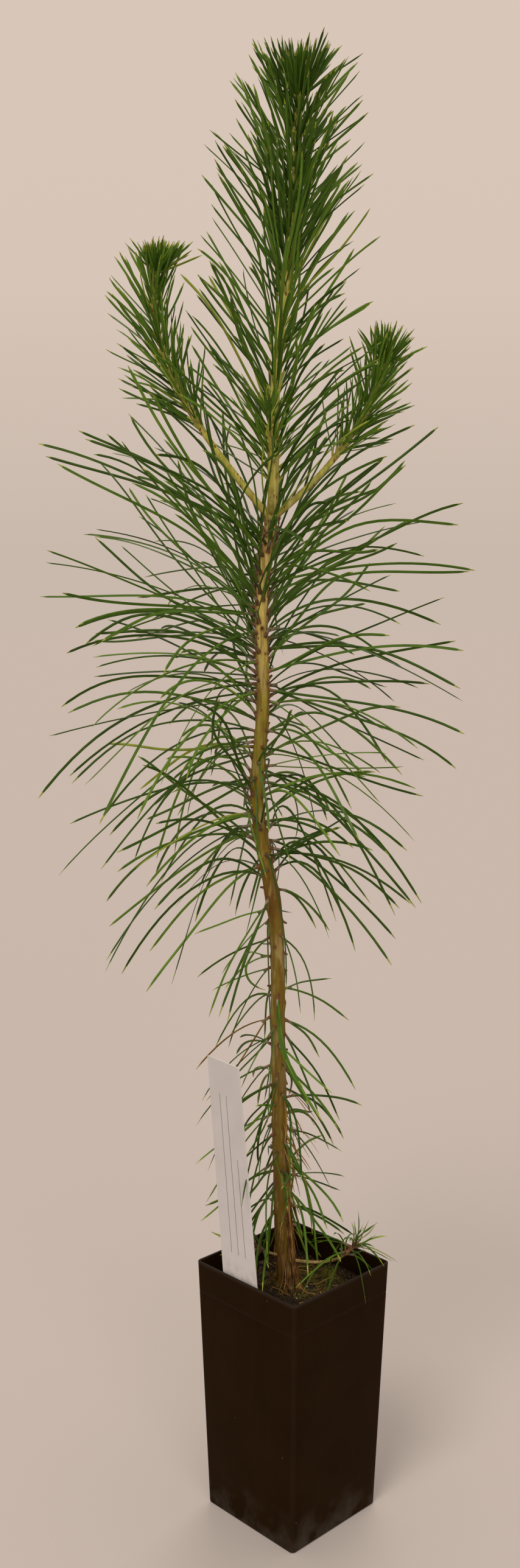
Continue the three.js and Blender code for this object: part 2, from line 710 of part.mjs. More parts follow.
function makeMass(name, mass, lines, runs, placed) {
  const line = lines[mass.shoot];
  const radius = LONG_NEEDLED_MASSES.test(name) ? NEEDLE_RADIUS : SMALL_NEEDLE_RADIUS;
  const random = randomNumbers(mass.seed);
  const solids = coreSolids(mass, line);
  const keep = (needle) => {
    const onRib = ribInner(mass, needle.station.radius) + ROOT_DEPTH * RIB_DEPTH;
    const inSleeve = needle.station.radius + GAP + ROOT_DEPTH * COLLAR_WALL;
    const onTrunk = mass.sleeve ? inSleeve : onRib;
    const depth = line.limb || needle.onTip ? 0 : onTrunk;
    const root = needle.station.point.clone().addScaledVector(needle.outward, depth);
    const shares = needle.length > LONG_NEEDLE ? LONG_NEEDLE_SHARES : SHORT_NEEDLE_SHARES;
    const points = needlePoints(needle, root, shares);
    const beads = beadsOf(points);
    if (!fits(points, beads, name, mass, line, radius, runs, placed)) return;
    const middle = beads[Math.floor(beads.length / 2)];
    placed.push({ name, points, radius, middle, length: needle.length * CURVED_LENGTH });
    solids.push(toSolid(needleBody(points, needle.onTip || line.limb ? null : needle.outward, radius)));
  };
  for (let k = 0; k < mass.count; k += 1) {
    keep(needleOf(mass, line, k, random));
  }
  for (let k = 0; k < (mass.brush ?? 0); k += 1) {
    keep(brushNeedleOf(mass, line, k, random));
  }
  return toGeometry(fuse(solids));
}

const material = (color, roughness) => new THREE.MeshStandardMaterial({ color, roughness, metalness: 0 });
const POT_PLASTIC = () => material(0x1c1714, 0.45);
const SOIL_MIX = () => material(0x2e2218, 0.95);
const BARK = () => material(0x9a7b50, 0.85);
const GREEN_WOOD = () => material(0x96923f, 0.7);
const TWIG = () => material(0x8a6a3c, 0.8);
const NEEDLE_GREEN = () => material(0x35662c, 0.5);
const LABEL_WHITE = () => material(0xe9e6e0, 0.4);

const plant = new THREE.Group();

function add(name, geometry, meshMaterial) {
  const mesh = new THREE.Mesh(geometry, meshMaterial);
  mesh.name = name;
  plant.add(mesh);
}

const lines = { trunk: trunkLine() };
for (const [name, limb] of Object.entries(LIMBS)) {
  lines[name] = limbLine(limb);
}

add('pot', makePot(), POT_PLASTIC());
add('soil', makeSoil(), SOIL_MIX());
add('label', labelBody(0), LABEL_WHITE());
add('trunk', trunkBody(0), BARK());

const grownTrunk = toSolid(trunkBody(GAP / Math.cos(Math.PI / TRUNK_SIDES)));
for (const [name, limb] of Object.entries(LIMBS)) {
  const whole = toSolid(limbBody(lines[name], 0, limb.bare, false));
  const wood = name.startsWith('bough') ? GREEN_WOOD() : TWIG();
  add(name, toGeometry(fuse([whole.subtract(grownTrunk)])), wood);
}

const runs = limbRuns(lines);
const placed = [];
for (const [name, mass] of Object.entries(MASSES)) {
  add(name, makeMass(name, mass, lines, runs, placed), NEEDLE_GREEN());
}

export default plant;
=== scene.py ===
import math

import bpy
import numpy as np
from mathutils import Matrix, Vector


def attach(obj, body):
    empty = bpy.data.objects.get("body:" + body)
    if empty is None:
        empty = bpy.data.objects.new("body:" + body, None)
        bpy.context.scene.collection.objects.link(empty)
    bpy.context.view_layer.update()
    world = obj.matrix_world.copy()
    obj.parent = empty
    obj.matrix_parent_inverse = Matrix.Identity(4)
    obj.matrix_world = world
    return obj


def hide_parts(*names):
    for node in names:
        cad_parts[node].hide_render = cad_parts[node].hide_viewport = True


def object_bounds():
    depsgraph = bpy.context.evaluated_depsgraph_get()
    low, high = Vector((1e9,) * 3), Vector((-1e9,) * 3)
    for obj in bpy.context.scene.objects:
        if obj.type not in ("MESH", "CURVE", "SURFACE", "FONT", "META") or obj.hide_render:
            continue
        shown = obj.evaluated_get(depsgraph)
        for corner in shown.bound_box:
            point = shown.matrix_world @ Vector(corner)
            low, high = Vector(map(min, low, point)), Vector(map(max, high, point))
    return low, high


# A young black pine in a slim square nursery pot. Sizes are in millimetres, as in the part's
# source, and a mesh is scaled to metres when it is made.
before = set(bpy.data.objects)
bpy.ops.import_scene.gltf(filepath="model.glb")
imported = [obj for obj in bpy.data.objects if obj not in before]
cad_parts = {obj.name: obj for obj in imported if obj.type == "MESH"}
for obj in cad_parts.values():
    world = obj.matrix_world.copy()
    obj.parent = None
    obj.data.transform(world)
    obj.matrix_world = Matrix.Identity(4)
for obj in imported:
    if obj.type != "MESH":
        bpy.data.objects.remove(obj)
CAD_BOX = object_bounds()
BODY = "root"
MM = 0.001
UP = np.array((0.0, 0.0, 1.0))
SQUARE = ((-1, -1), (1, -1), (1, 1), (-1, 1))

# Needles stay in the source's box, apart from this share of each of its sides
BOX_SPARE = 0.025
BOX_LOW, BOX_HIGH = np.array([list(corner) for corner in CAD_BOX]) / MM
SPACE_LOW = BOX_LOW - BOX_SPARE * (BOX_HIGH - BOX_LOW)
SPACE_HIGH = BOX_HIGH + BOX_SPARE * (BOX_HIGH - BOX_LOW)

# Camera, at the place and with the lens that the photograph was taken with
PHOTO_HEIGHT = 2576
LENS_PIXELS = 2545.43
CAMERA_PLACE = (-35.32, -777.30, 515.04)
CAMERA_PITCH = 0.1511
CAMERA_YAW = 0.0218
CAMERA_ROLL = 0.003
SENSOR = 36.0

# Pot and soil
POT_HEIGHT = 139.7
POT_TOP_SIDE = 73.0
POT_BASE_SIDE = 64.4
POT_WALL = 1.3
POT_FLOOR = 1.8
POT_CORNER_RADIUS = 2.6
LEAST_CORNER_RADIUS = 0.6
POT_EDGE = 1.2
POT_TURN = math.radians(43.2)
POT_BULGE = 0.35
RIM_ROUND = 0.5
RIM_LINE_DROP = 17
RIM_LINE_DEPTH = 0.14
RIM_LINE_WIDTH = 0.5
INNER_BEVEL = 0.15
OUTER_RINGS = 26
BAND_RINGS = 4
INNER_RINGS = 12
FOOT_WEAR = 0.25
LINE_WEAR = 0.35
# The rim and the corners are paler partly as wear and partly as a painted highlight
RIM_WEAR_AND_HIGHLIGHT = 0.9
CORNER_WEAR_AND_HIGHLIGHT = 0.3
CORNER_STEPS = 8
FLAT_STEPS = 10
DRAIN_SIDE = 11
DRAIN_OFFSET = 16
DRAIN_CUT = (-2, 3)
SOIL_LEVEL = 126
SOIL_CELLS = 84
SOIL_GAP = 0.15
FLOOR_GAP = 0.3
SOIL_SINK = 1.2
SOIL_RELIEF = 1.3
MOUND_HEIGHT = 3.4
MOUND_SPREAD = 10.0
MOSS_SHIFT = (9, 8)
MOSS_SPREAD = 17
CRUMBS_FROM_WALL = 1.6
CRUMBS_FROM_LABEL = 1.25
CHIPS_FROM_TRUNK = 6
GRIT_FROM_TRUNK = 7
MOSS_FROM_TRUNK = 4.6

# Uneven soil and patches of moss: the size of the cells, a shift and a seed
SOIL_LUMPS = (7, 20, 11)
SOIL_GRAINS = (2.3, 9, 12)
MOSS_PATCHES = (9, 3, 21)

# White plant label. A ruled line has its place across the label, and the shares of the label's
# length that it starts and ends at.
LABEL_WIDTH = 25.4
LABEL_LENGTH = 152.4
LABEL_THICKNESS = 0.7
LABEL_TOP = 260
LABEL_SHIFT = -4.8
LABEL_GAP = 0.45
LABEL_LEAN = 5.7
LABEL_TWIST = -5
LABEL_CORNER = 0.8
LABEL_BEVEL = 0.12
LABEL_ROWS = 60
RULED_LINES = ((-4.6, 0.30, 0.88), (0.6, 0.30, 0.88), (5.8, 0.30, 0.66))
RULED_HALF_WIDTH = 0.22

# Trunk, by the source's rule: its line as heights with their places in x and y, its thickness as
# heights with their radii, its swellings as height, size and reach, and its root flare
TRUNK_FOOT = SOIL_LEVEL + 0.3
TRUNK_TIP = 726
TRUNK_LINE = (
    (126, -3.2, 0), (160, -6, 0.4), (250, -8.3, 1), (325, -10, 1), (362, -16.3, 0), (390, -20, -1),
    (437, -17, -0.4), (490, -17.8, 0.6), (537, -12.6, 0), (600, -11, -0.6), (650, -5.3, 0), (726, -0.6, 0.5),
)
TRUNK_TAPER = ((126, 4.0), (330, 3.5), (515, 2.95), (545, 2.5), (640, 2.1), (660, 1.35), (726, 0.8))
TRUNK_SWELLS = ((338, 0.5, 9), (524, 0.5, 7), (604, 0.3, 14))
FLARE_SIZE = 1.5
FLARE_FADE = 5
FLARE_LOBES = 5
FLARE_LOBE_DEPTH = 0.28
WHORL_HEIGHT = 526
OLD_BARK_TOP = 345


def table(columns, rows):
    """Named rows of values, each as a dictionary with the columns' names."""
    return {name: dict(zip(columns.split(), row)) for name, row in rows.items()}


# Boughs and basal shoots, by the source's rule
LIMBS = table("height azimuth length rise turn_power radius bare", {
    "bough_left": (529, 172, 135, (50, 98), 2.4, (1.9, 1.0), 0.36),
    "bough_right": (529, 10, 95, (39, 74), 1.5, (1.8, 1.0), 0.42),
    "bough_front": (530, 266, 52, (50, 88), 1, (1.6, 1.0), 0.5),
    "basal_shoot_right": (141, 352, 41, (-8, 62), 2, (0.95, 0.7), 0.72),
    "basal_shoot_left": (143, 195, 17, (8, 38), 1, (0.8, 0.65), 0.6),
})
LIMB_LINE_STEPS = 40
NEEDLE_FREE_SHARE = 0.04

# Needles: the source's rule, seeds, stretches and reach, with more of them, here in pairs. Some
# lengths, rises, drops and scatters are set closer to the photograph. Reach is how far a needle may
# go from the trunk's axis, or from a limb's tip past the length of the limb's leafy part, and low and
# high are the heights that it stays between. Girth is its half width, opening the angle in degrees
# between the two of a pair, and bow, wander and swing say how far a needle bends, as shares of its
# length. Fallen is the share of pairs lost at the low and the high end, shade how many more are lost
# on the side away from the light, and front how many more at both ends on the side towards the
# camera. Tints are the shares of each green.
SPIRAL_TURN = 137.508
FALL_SEED = 2000
LENGTH_SCATTER = 0.13
DROP_SCATTER = 0.7
SWAY = 0.12
LIGHT_SIDE_GAIN = 0.12
NEEDLE_SINK = 0.3
BRUSH_RISE = (28, 85)
BRUSH_LENGTH = (0.62, 0.9)
TINTS = ("deep", "mid", "fresh", "lime", "dead")
CROWN_TINTS = (0.48, 0.39, 0.12, 0.01, 0.0)
LEADER_TINTS = (0.16, 0.44, 0.38, 0.02, 0.0)
TUFT_TINTS = (0.05, 0.34, 0.58, 0.03, 0.0)
FOOT_TINTS = (0.34, 0.40, 0.20, 0.04, 0.02)
BASAL_TINTS = (0.30, 0.42, 0.24, 0.04, 0.0)
MASSES = table("shoot span count seed brush reach low high slot", {
    "leader_needles_top": ("trunk", (636, 720), 104, 31, 56, 47, 636, 753, "needles_fresh"),
    "leader_needles_lower": ("trunk", (543, 634), 62, 22, 0, 68, 545, 712, "needles_fresh"),
    "bough_left_needles": ("bough_left", None, 78, 43, 46, 38, 560, 664, "needles_fresh"),
    "bough_right_needles": ("bough_right", None, 60, 54, 32, 32, 545, 628, "needles_fresh"),
    "bough_front_needles": ("bough_front", None, 20, 65, 9, 30, 545, 600, "needles_fresh"),
    "trunk_needles_upper": ("trunk", (438, 523), 122, 98, 0, 116, 385, 600, "needles_dark"),
    "trunk_needles_lower": ("trunk", (349, 436), 86, 125, 0, 116, 298, 500, "needles_dark"),
    "foot_needles": ("trunk", (152, 346), 96, 99, 0, 46, 130, 360, "needles_dark"),
    "basal_needles_right": ("basal_shoot_right", None, 18, 109, 5, 40, 112, 190, "needles_dark"),
    "basal_needles_left": ("basal_shoot_left", None, 9, 110, 2, 34, 129, 175, "needles_dark"),
})
SHAPES = table("length rise rise_scatter drop girth opening bow wander swing tints", {
    "leader_needles_top": ((62, 44), (60, 55), 28, (0.04, 0), 0.6, 20, 0.16, 0.02, 0.1, LEADER_TINTS),
    "leader_needles_lower": ((90, 64), (47, 59), 24, (0.2, 0.06), 0.62, 22, 0.3, 0.035, 0.15, LEADER_TINTS),
    "bough_left_needles": ((38, 33), (56, 68), 22, (0.04, 0), 0.56, 20, 0.16, 0.02, 0.1, TUFT_TINTS),
    "bough_right_needles": ((33, 27), (52, 64), 24, (0.04, 0), 0.54, 20, 0.16, 0.02, 0.1, TUFT_TINTS),
    "bough_front_needles": ((30, 20), (46, 60), 24, (0.04, 0), 0.5, 18, 0.16, 0.02, 0.1, TUFT_TINTS),
    "trunk_needles_upper": ((105, 110), (20, 50), 60, (0.44, 0.11), 0.68, 30, 0.5, 0.06, 0.6, CROWN_TINTS),
    "trunk_needles_lower": ((74, 102), (18, 27), 72, (0.82, 0.58), 0.66, 32, 0.5, 0.07, 0.6, CROWN_TINTS),
    "foot_needles": ((47, 42), (-30, -18), 76, (0.44, 0.44), 0.62, 36, 0.6, 0.06, 1.2, FOOT_TINTS),
    "basal_needles_right": ((40, 20), (-4, 24), 90, (0.9, 0.4), 0.46, 34, 0.6, 0.05, 0.8, BASAL_TINTS),
    "basal_needles_left": ((28, 32), (10, 30), 46, (0.4, 0.35), 0.5, 30, 0.3, 0.03, 0.5, BASAL_TINTS),
})
LOSSES = table("fallen shade front", {
    "trunk_needles_upper": ((0.13, 0.0), 0.22, (0.9, 0.4)),
    "trunk_needles_lower": ((0.0, 0.1), 0.15, (0.5, 0.9)),
    "foot_needles": ((0.0, 0.52), 0, (0.1, 0.3)),
})
NO_LOSS = {"fallen": (0, 0), "shade": 0, "front": (0, 0)}
for name, mass in MASSES.items():
    mass.update(SHAPES[name], **LOSSES.get(name, NO_LOSS))
DEAD_TINT = TINTS.index("dead")
WHORL_SCALES = 72
WHORL_BELOW = 8
WHORL_BAND = 13
SCALE_LEAN = (0.3, 1.1)
SCALE_SIZE = (0.7, 1.4)
TINT_SEED = 1000
CLEARANCE = 0.9
FAR = 9
CLEAR_AFTER = 14
SHORTER = (1, 0.86, 0.74, 0.62)
LEAST_STEPS = 6
STEP_LENGTH = 8.5
TIP_STEPS = (4.2, 2.4, 1.0, 0.0)
TAPER_LENGTH = 4.2
TIP_LENGTH = 2.7
LEAST_RADIUS = 0.1
BEAT = (0.35, 0.9)
SHEATH_LENGTH = 4.6
YOUNG_SHEATH_LENGTH = 4.2
SHEATH_SHAPE = np.array((1.1, 1.18, 1.14, 1.06, 0.92))
SHEATH_START = 0.75
FULL_SHEATH_FROM = 60
PEG_LENGTH = 2.8
PEG_FOOT = -0.2
PEG_GIRTH = 0.7
PEG_SHAPE = np.array((1.5, 1.12, 0.92, 0.88, 0.72))
BARE_PEG_SHAPE = np.array((1.2, 0.9, 0.74, 0.68, 0.5))
BARE_PEG_LEFT = (0.3, 1)
LEAST_OPENING = 0.35
MOST_OPENING = 1.7
EASED = (1, 0.5, 0.2)
SHORTER_BY = 0.26
DROP_CHANGE = 1.2
HOOK_CHANCE = 0.02
HOOK_LENGTH = 0.6
HOOK_STEPS = 22
HOOK_START = 0.62
HOOK_TURN = 150

# Studio: an even floor, three broad lights with the way to each, its strength, its width in degrees
# and its colour, a backdrop by the height of the view ray, darker near the horizon as painted shade,
# and a dimmer dome that lights the plant from all round
FLOOR_HALF = 9000
FLOOR_COLOR = (0.470, 0.414, 0.397)
# The backdrop is darker near the horizon as painted shade
BACKDROP_STOPS = ((0.0, (0.585, 0.485, 0.412)), (0.16, (0.68, 0.56, 0.475)), (1.0, (0.74, 0.62, 0.53)))
DOME_STOPS = ((0.0, (0.26, 0.22, 0.18)), (0.3, (0.42, 0.37, 0.31)), (1.0, (0.80, 0.74, 0.66)))
LIGHTS = (
    ("key_light", (-0.55, -0.95, 1.5), 1.5, 24, (1.0, 0.94, 0.84)),
    ("front_light", (0.30, -1.0, 0.35), 0.8, 30, (1.0, 0.95, 0.87)),
    ("back_light", (0.3, 1.2, 1.1), 0.8, 40, (1.0, 0.94, 0.85)),
)


class Numbers:
    """Repeatable numbers from 0 to 1 for a seed, the same as in the part's source."""

    def __init__(self, seed):
        self.state = seed & 0xFFFFFFFF

    def next(self):
        self.state = (self.state + 0x6D2B79F5) & 0xFFFFFFFF
        t = ((self.state ^ (self.state >> 15)) * (self.state | 1)) & 0xFFFFFFFF
        t ^= (t + (((t ^ (t >> 7)) * (t | 61)) & 0xFFFFFFFF)) & 0xFFFFFFFF
        return ((t ^ (t >> 14)) & 0xFFFFFFFF) / 4294967296


def mix(a, b, share):
    return a + (b - a) * share


def unit(v):
    return v / np.linalg.norm(v)


def flat_turn(x, y, angle):
    """A place in plan, turned round the upright axis."""
    return x * math.cos(angle) - y * math.sin(angle), x * math.sin(angle) + y * math.cos(angle)


def flat_way(angle):
    """The level direction at an angle in plan."""
    return np.array((math.cos(angle), math.sin(angle), 0.0))


def smooth_at(rows, height, column):
    """A column of a list of rows at a height, on a smooth curve through the rows."""
    last = len(rows) - 1
    h = min(max(height, rows[0][0]), rows[last][0])
    i = 0
    while i < last - 1 and h > rows[i + 1][0]:
        i += 1

    def slope(k):
        a = max(k - 1, 0)
        b = min(k + 1, last)
        return (rows[b][column] - rows[a][column]) / (rows[b][0] - rows[a][0])

    width = rows[i + 1][0] - rows[i][0]
    t = (h - rows[i][0]) / width
    t2 = t * t
    t3 = t2 * t
    return (
        (2 * t3 - 3 * t2 + 1) * rows[i][column] + (t3 - 2 * t2 + t) * width * slope(i)
        + (3 * t2 - 2 * t3) * rows[i + 1][column] + (t3 - t2) * width * slope(i + 1)
    )


def trunk_point(height):
    return np.array((smooth_at(TRUNK_LINE, height, 1), smooth_at(TRUNK_LINE, height, 2), height))


def trunk_radius(height):
    heights, radii = zip(*TRUNK_TAPER)
    radius = np.interp(height, heights, radii) + FLARE_SIZE * math.exp((TRUNK_FOOT - height) / FLARE_FADE)
    for at, size, wide in TRUNK_SWELLS:
        radius += size * math.exp(-(((height - at) / wide) ** 2))
    return radius


class TrunkLine:
    """The trunk as a line whose places are heights."""

    tip = TRUNK_TIP
    scale = 1
    limb = None

    def at(self, height):
        direction = unit(trunk_point(height + 1) - trunk_point(height - 1))
        return trunk_point(height), direction, np.array((0.0, 1.0, 0.0)), trunk_radius(height)


class LimbLine:
    """A bough or basal shoot as a line whose places are shares of its length."""

    tip = 1.0

    def __init__(self, limb):
        self.limb = limb
        self.scale = limb["length"]
        self.out = flat_way(math.radians(limb["azimuth"]))
        self.side = np.array((-self.out[1], self.out[0], 0.0))

    def heading(self, share):
        rise = math.radians(mix(*self.limb["rise"], max(share, 0) ** self.limb["turn_power"]))
        return self.out * math.cos(rise) + UP * math.sin(rise)

    def at(self, share):
        point = trunk_point(self.limb["height"])
        step = share / LIMB_LINE_STEPS
        for k in range(LIMB_LINE_STEPS):
            point = point + self.heading(step * (k + 0.5)) * self.limb["length"] * step
        return point, self.heading(share), self.side, mix(*self.limb["radius"], share)


LINES = {"trunk": TrunkLine(), **{name: LimbLine(limb) for name, limb in LIMBS.items()}}


def lift_at(direction, side):
    """The direction across a shoot that a quarter turn from its side points in."""
    return unit(np.cross(direction, side))


def outward_at(direction, side, turn):
    return side * math.cos(turn) + lift_at(direction, side) * math.sin(turn)


def pair_on(line, place, turn, rise, sunk):
    """A pair of needles turned round a line and rising from it: where it stands and its direction."""
    point, direction, side, radius = line.at(place)
    outward = outward_at(direction, side, turn)
    return {
        "place": place, "turn": turn, "outward": outward, "root": point + outward * (radius - sunk),
        "aim": outward * math.cos(rise) + direction * math.sin(rise),
    }


def needle_of(mass, line, k, numbers):
    """One pair of needles by the source's rule, with its length, drop and sway."""
    share = (k + 0.5) / mass["count"]
    place = mix(*(mass["span"] or (line.limb["bare"] + NEEDLE_FREE_SHARE, 1)), share)
    rise = mix(*mass["rise"], share) + mass["rise_scatter"] * (numbers.next() - 0.5)
    turn = math.radians(SPIRAL_TURN * k + mass["seed"])
    pair = pair_on(line, place, turn, math.radians(rise), NEEDLE_SINK)
    scatter = 1 + LENGTH_SCATTER * (2 * numbers.next() - 1.2)
    length = mix(*mass["length"], share) * scatter * (1 - LIGHT_SIDE_GAIN * pair["outward"][0])
    drop = mix(*mass["drop"], share) * (1 + DROP_SCATTER * (2 * numbers.next() - 1))
    sway = SWAY * (2 * numbers.next() - 1)
    return {**pair, "share": share, "length": length, "drop": drop, "sway": sway, "on_tip": False}


def brush_needle_of(mass, line, k, numbers):
    """A pair of the brush at the tip of a shoot, which stands nearly along the shoot."""
    rise = math.radians(mix(*BRUSH_RISE, math.sqrt((k + 0.5) / mass["brush"])))
    turn = math.radians(SPIRAL_TURN * k + 2 * mass["seed"])
    pair = pair_on(line, line.tip, turn, rise, 0.5 * line.at(line.tip)[3])
    length = mass["length"][1] * mix(*BRUSH_LENGTH, numbers.next())
    return {**pair, "length": length, "drop": 0, "sway": 0, "on_tip": True}


def needle_path(needle, shares):
    s = np.array(shares)[:, None]
    across = unit(np.cross(needle["aim"], UP))
    bend = -UP * needle["drop"] + across * needle["sway"]
    return needle["root"] + needle["length"] * (needle["aim"] * s + bend * s * s)


def label_at(height):
    """Middle of the label at a height, and the directions of its width and its face."""
    share = max((height - POT_HEIGHT) / (LABEL_TOP - POT_HEIGHT), 0)
    along = flat_way(POT_TURN - math.pi / 2)[:2]
    outward = np.array((along[1], -along[0]))
    at_rim = POT_TOP_SIDE / 2 - POT_WALL - LABEL_GAP - LABEL_THICKNESS / 2
    out = at_rim + (height - POT_HEIGHT) * math.tan(math.radians(LABEL_LEAN))
    width = np.array(flat_turn(*along, math.radians(LABEL_TWIST * share)))
    return along * LABEL_SHIFT + outward * out, width, np.array((-width[1], width[0]))


def pot_side_at(height):
    return mix(POT_BASE_SIDE, POT_TOP_SIDE, height / POT_HEIGHT)


def clear_of_label(p, margin):
    middle, width, across = label_at(p[2])
    offset = p[:2] - middle
    beside = abs(offset @ width) > LABEL_WIDTH / 2 + margin
    before = abs(offset @ across) > LABEL_THICKNESS / 2 + margin
    return p[2] > LABEL_TOP + margin or beside or before


def clear_of_pot(p, margin):
    """Whether a point is clear of the pot's wall, the soil and the label."""
    out = max(abs(side) for side in flat_turn(p[0], p[1], -POT_TURN))
    half = pot_side_at(p[2]) / 2
    in_wall = p[2] < POT_HEIGHT + margin and half - POT_WALL - margin < out < half + margin
    in_soil = p[2] < SOIL_LEVEL + margin and out < half
    return not in_wall and not in_soil and clear_of_label(p, margin)


def wood_points():
    """Points along the trunk and the limbs, with their radii and owners, that needles stay clear of."""
    rows = []
    for owner, (name, line) in enumerate(LINES.items()):
        places = np.arange(TRUNK_FOOT, TRUNK_TIP, 2) if name == "trunk" else np.linspace(0.05, 1, 40)
        rows += [(*point, radius, owner) for point, _, _, radius in map(line.at, places)]
    return np.array(rows)


WOOD = wood_points()
TRUNK_AXIS = WOOD[WOOD[:, 4] == 0]


def fits(path, mass, line, free):
    """A needle is kept if it stays in its mass's space and touches no limb, pot or label."""
    if path[:, 2].min() < mass["low"] or path[:, 2].max() > mass["high"]:
        return False
    if (path.min(0) < SPACE_LOW).any() or (path.max(0) > SPACE_HIGH).any():
        return False
    reach = mass["reach"]
    if line.limb:
        reach += line.limb["length"] * (1 - line.limb["bare"])
        near = np.linalg.norm(path - line.at(1)[0], axis=1)
    else:
        x, y = (np.interp(path[:, 2], TRUNK_AXIS[:, 2], TRUNK_AXIS[:, axis]) for axis in (0, 1))
        near = np.hypot(path[:, 0] - x, path[:, 1] - y)
    if near.max() > reach or not all(clear_of_pot(p, CLEARANCE) for p in path[1:]):
        return False
    own = list(LINES).index(mass["shoot"])
    gaps = np.linalg.norm(path[:, None] - WOOD[None, :, :3], axis=2) - WOOD[None, :, 3]
    gaps[np.ix_(~free, WOOD[:, 4] == own)] = FAR
    return gaps.min() > CLEARANCE


def shortened(needle, mass, line):
    """The pair as long as fits in its place, or nothing where even a short one doesn't."""
    shares = np.linspace(0, 1, 26)
    for size in SHORTER:
        one = {**needle, "length": size * needle["length"]}
        if fits(needle_path(one, shares), mass, line, shares * one["length"] > CLEAR_AFTER):
            return one
    return None


def stays_on(needle, mass, chance):
    """Whether a pair is still on its shoot: fewer are where a mass has lost some."""
    x, y, _ = needle["outward"]
    lost = mix(*mass["fallen"], needle["share"]) + mass["shade"] * x
    lost += mix(*mass["front"], needle["share"]) * max(-y, 0) ** 2
    return chance.random() >= lost


def grow_mass(mass):
    """The pairs of a mass that are on their shoot, and those that fell and left only a peg.

    On the side towards the camera most of the fallen ones left none.
    """
    line = LINES[mass["shoot"]]
    numbers = Numbers(mass["seed"])
    chance = np.random.default_rng(mass["seed"] + FALL_SEED)
    kept, fallen = [], []
    for needle in [needle_of(mass, line, k, numbers) for k in range(mass["count"])]:
        (kept if stays_on(needle, mass, chance) else fallen).append(needle)
    fallen = [needle for k, needle in enumerate(fallen) if k % 4 == 0 or needle["outward"][1] > -0.5]
    kept += [brush_needle_of(mass, line, k, numbers) for k in range(mass["brush"])]
    return [shorter for shorter in (shortened(needle, mass, line) for needle in kept) if shorter], fallen


GROWN = {name: grow_mass(mass) for name, mass in MASSES.items()}


# Meshes from rows of points

def mesh_object(name, points, faces, edges=(), **attributes):
    """A mesh from points in millimetres. Attributes are numbers or directions for each point."""
    mesh = bpy.data.meshes.new(name)
    mesh.from_pydata((np.asarray(points) * MM).tolist(), list(edges), [list(map(int, f)) for f in faces])
    for key, values in attributes.items():
        values = np.asarray(values)
        whole = values.dtype.kind == "i"
        kind = "INT" if whole else "FLOAT" if values.ndim == 1 else "FLOAT_VECTOR"
        made = mesh.attributes.new(key, kind, "POINT")
        numbers = values.astype(np.int32 if whole else np.float32).ravel()
        made.data.foreach_set("value" if values.ndim == 1 else "vector", numbers)
    mesh.update()
    obj = bpy.data.objects.new(name, mesh)
    bpy.context.scene.collection.objects.link(obj)
    return obj


def tube_faces(rings, columns, start=0):
    """Quads between rings of equal size, and the two end faces."""
    r, c = np.meshgrid(np.arange(rings - 1), np.arange(columns), indexing="ij")
    a = start + r * columns + c
    b = start + r * columns + (c + 1) % columns
    quads = np.stack((a, b, b + columns, a + columns), axis=-1).reshape(-1, 4)
    foot = [start + k for k in range(columns - 1, -1, -1)]
    head = [start + (rings - 1) * columns + k for k in range(columns)]
    return [*quads.tolist(), foot, head]


def finish_piece(obj, slot, angle, *nodes, material=None):
    """Smooths a piece up to an angle. It rides on the one body and stands for the nodes it replaces."""
    if material:
        obj.data.materials.append(material)
    obj.data.shade_smooth()
    obj.data.set_sharp_from_angle(angle=math.radians(angle))
    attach(obj, BODY)
    if nodes:
        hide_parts(*nodes)


def keep_result(obj):
    """Makes what an object's modifiers give its plain mesh."""
    made = bpy.data.meshes.new_from_object(obj.evaluated_get(bpy.context.evaluated_depsgraph_get()))
    obj.modifiers.clear()
    old = obj.data
    obj.data = made
    bpy.data.meshes.remove(old)
    made.name = obj.name


# Node trees

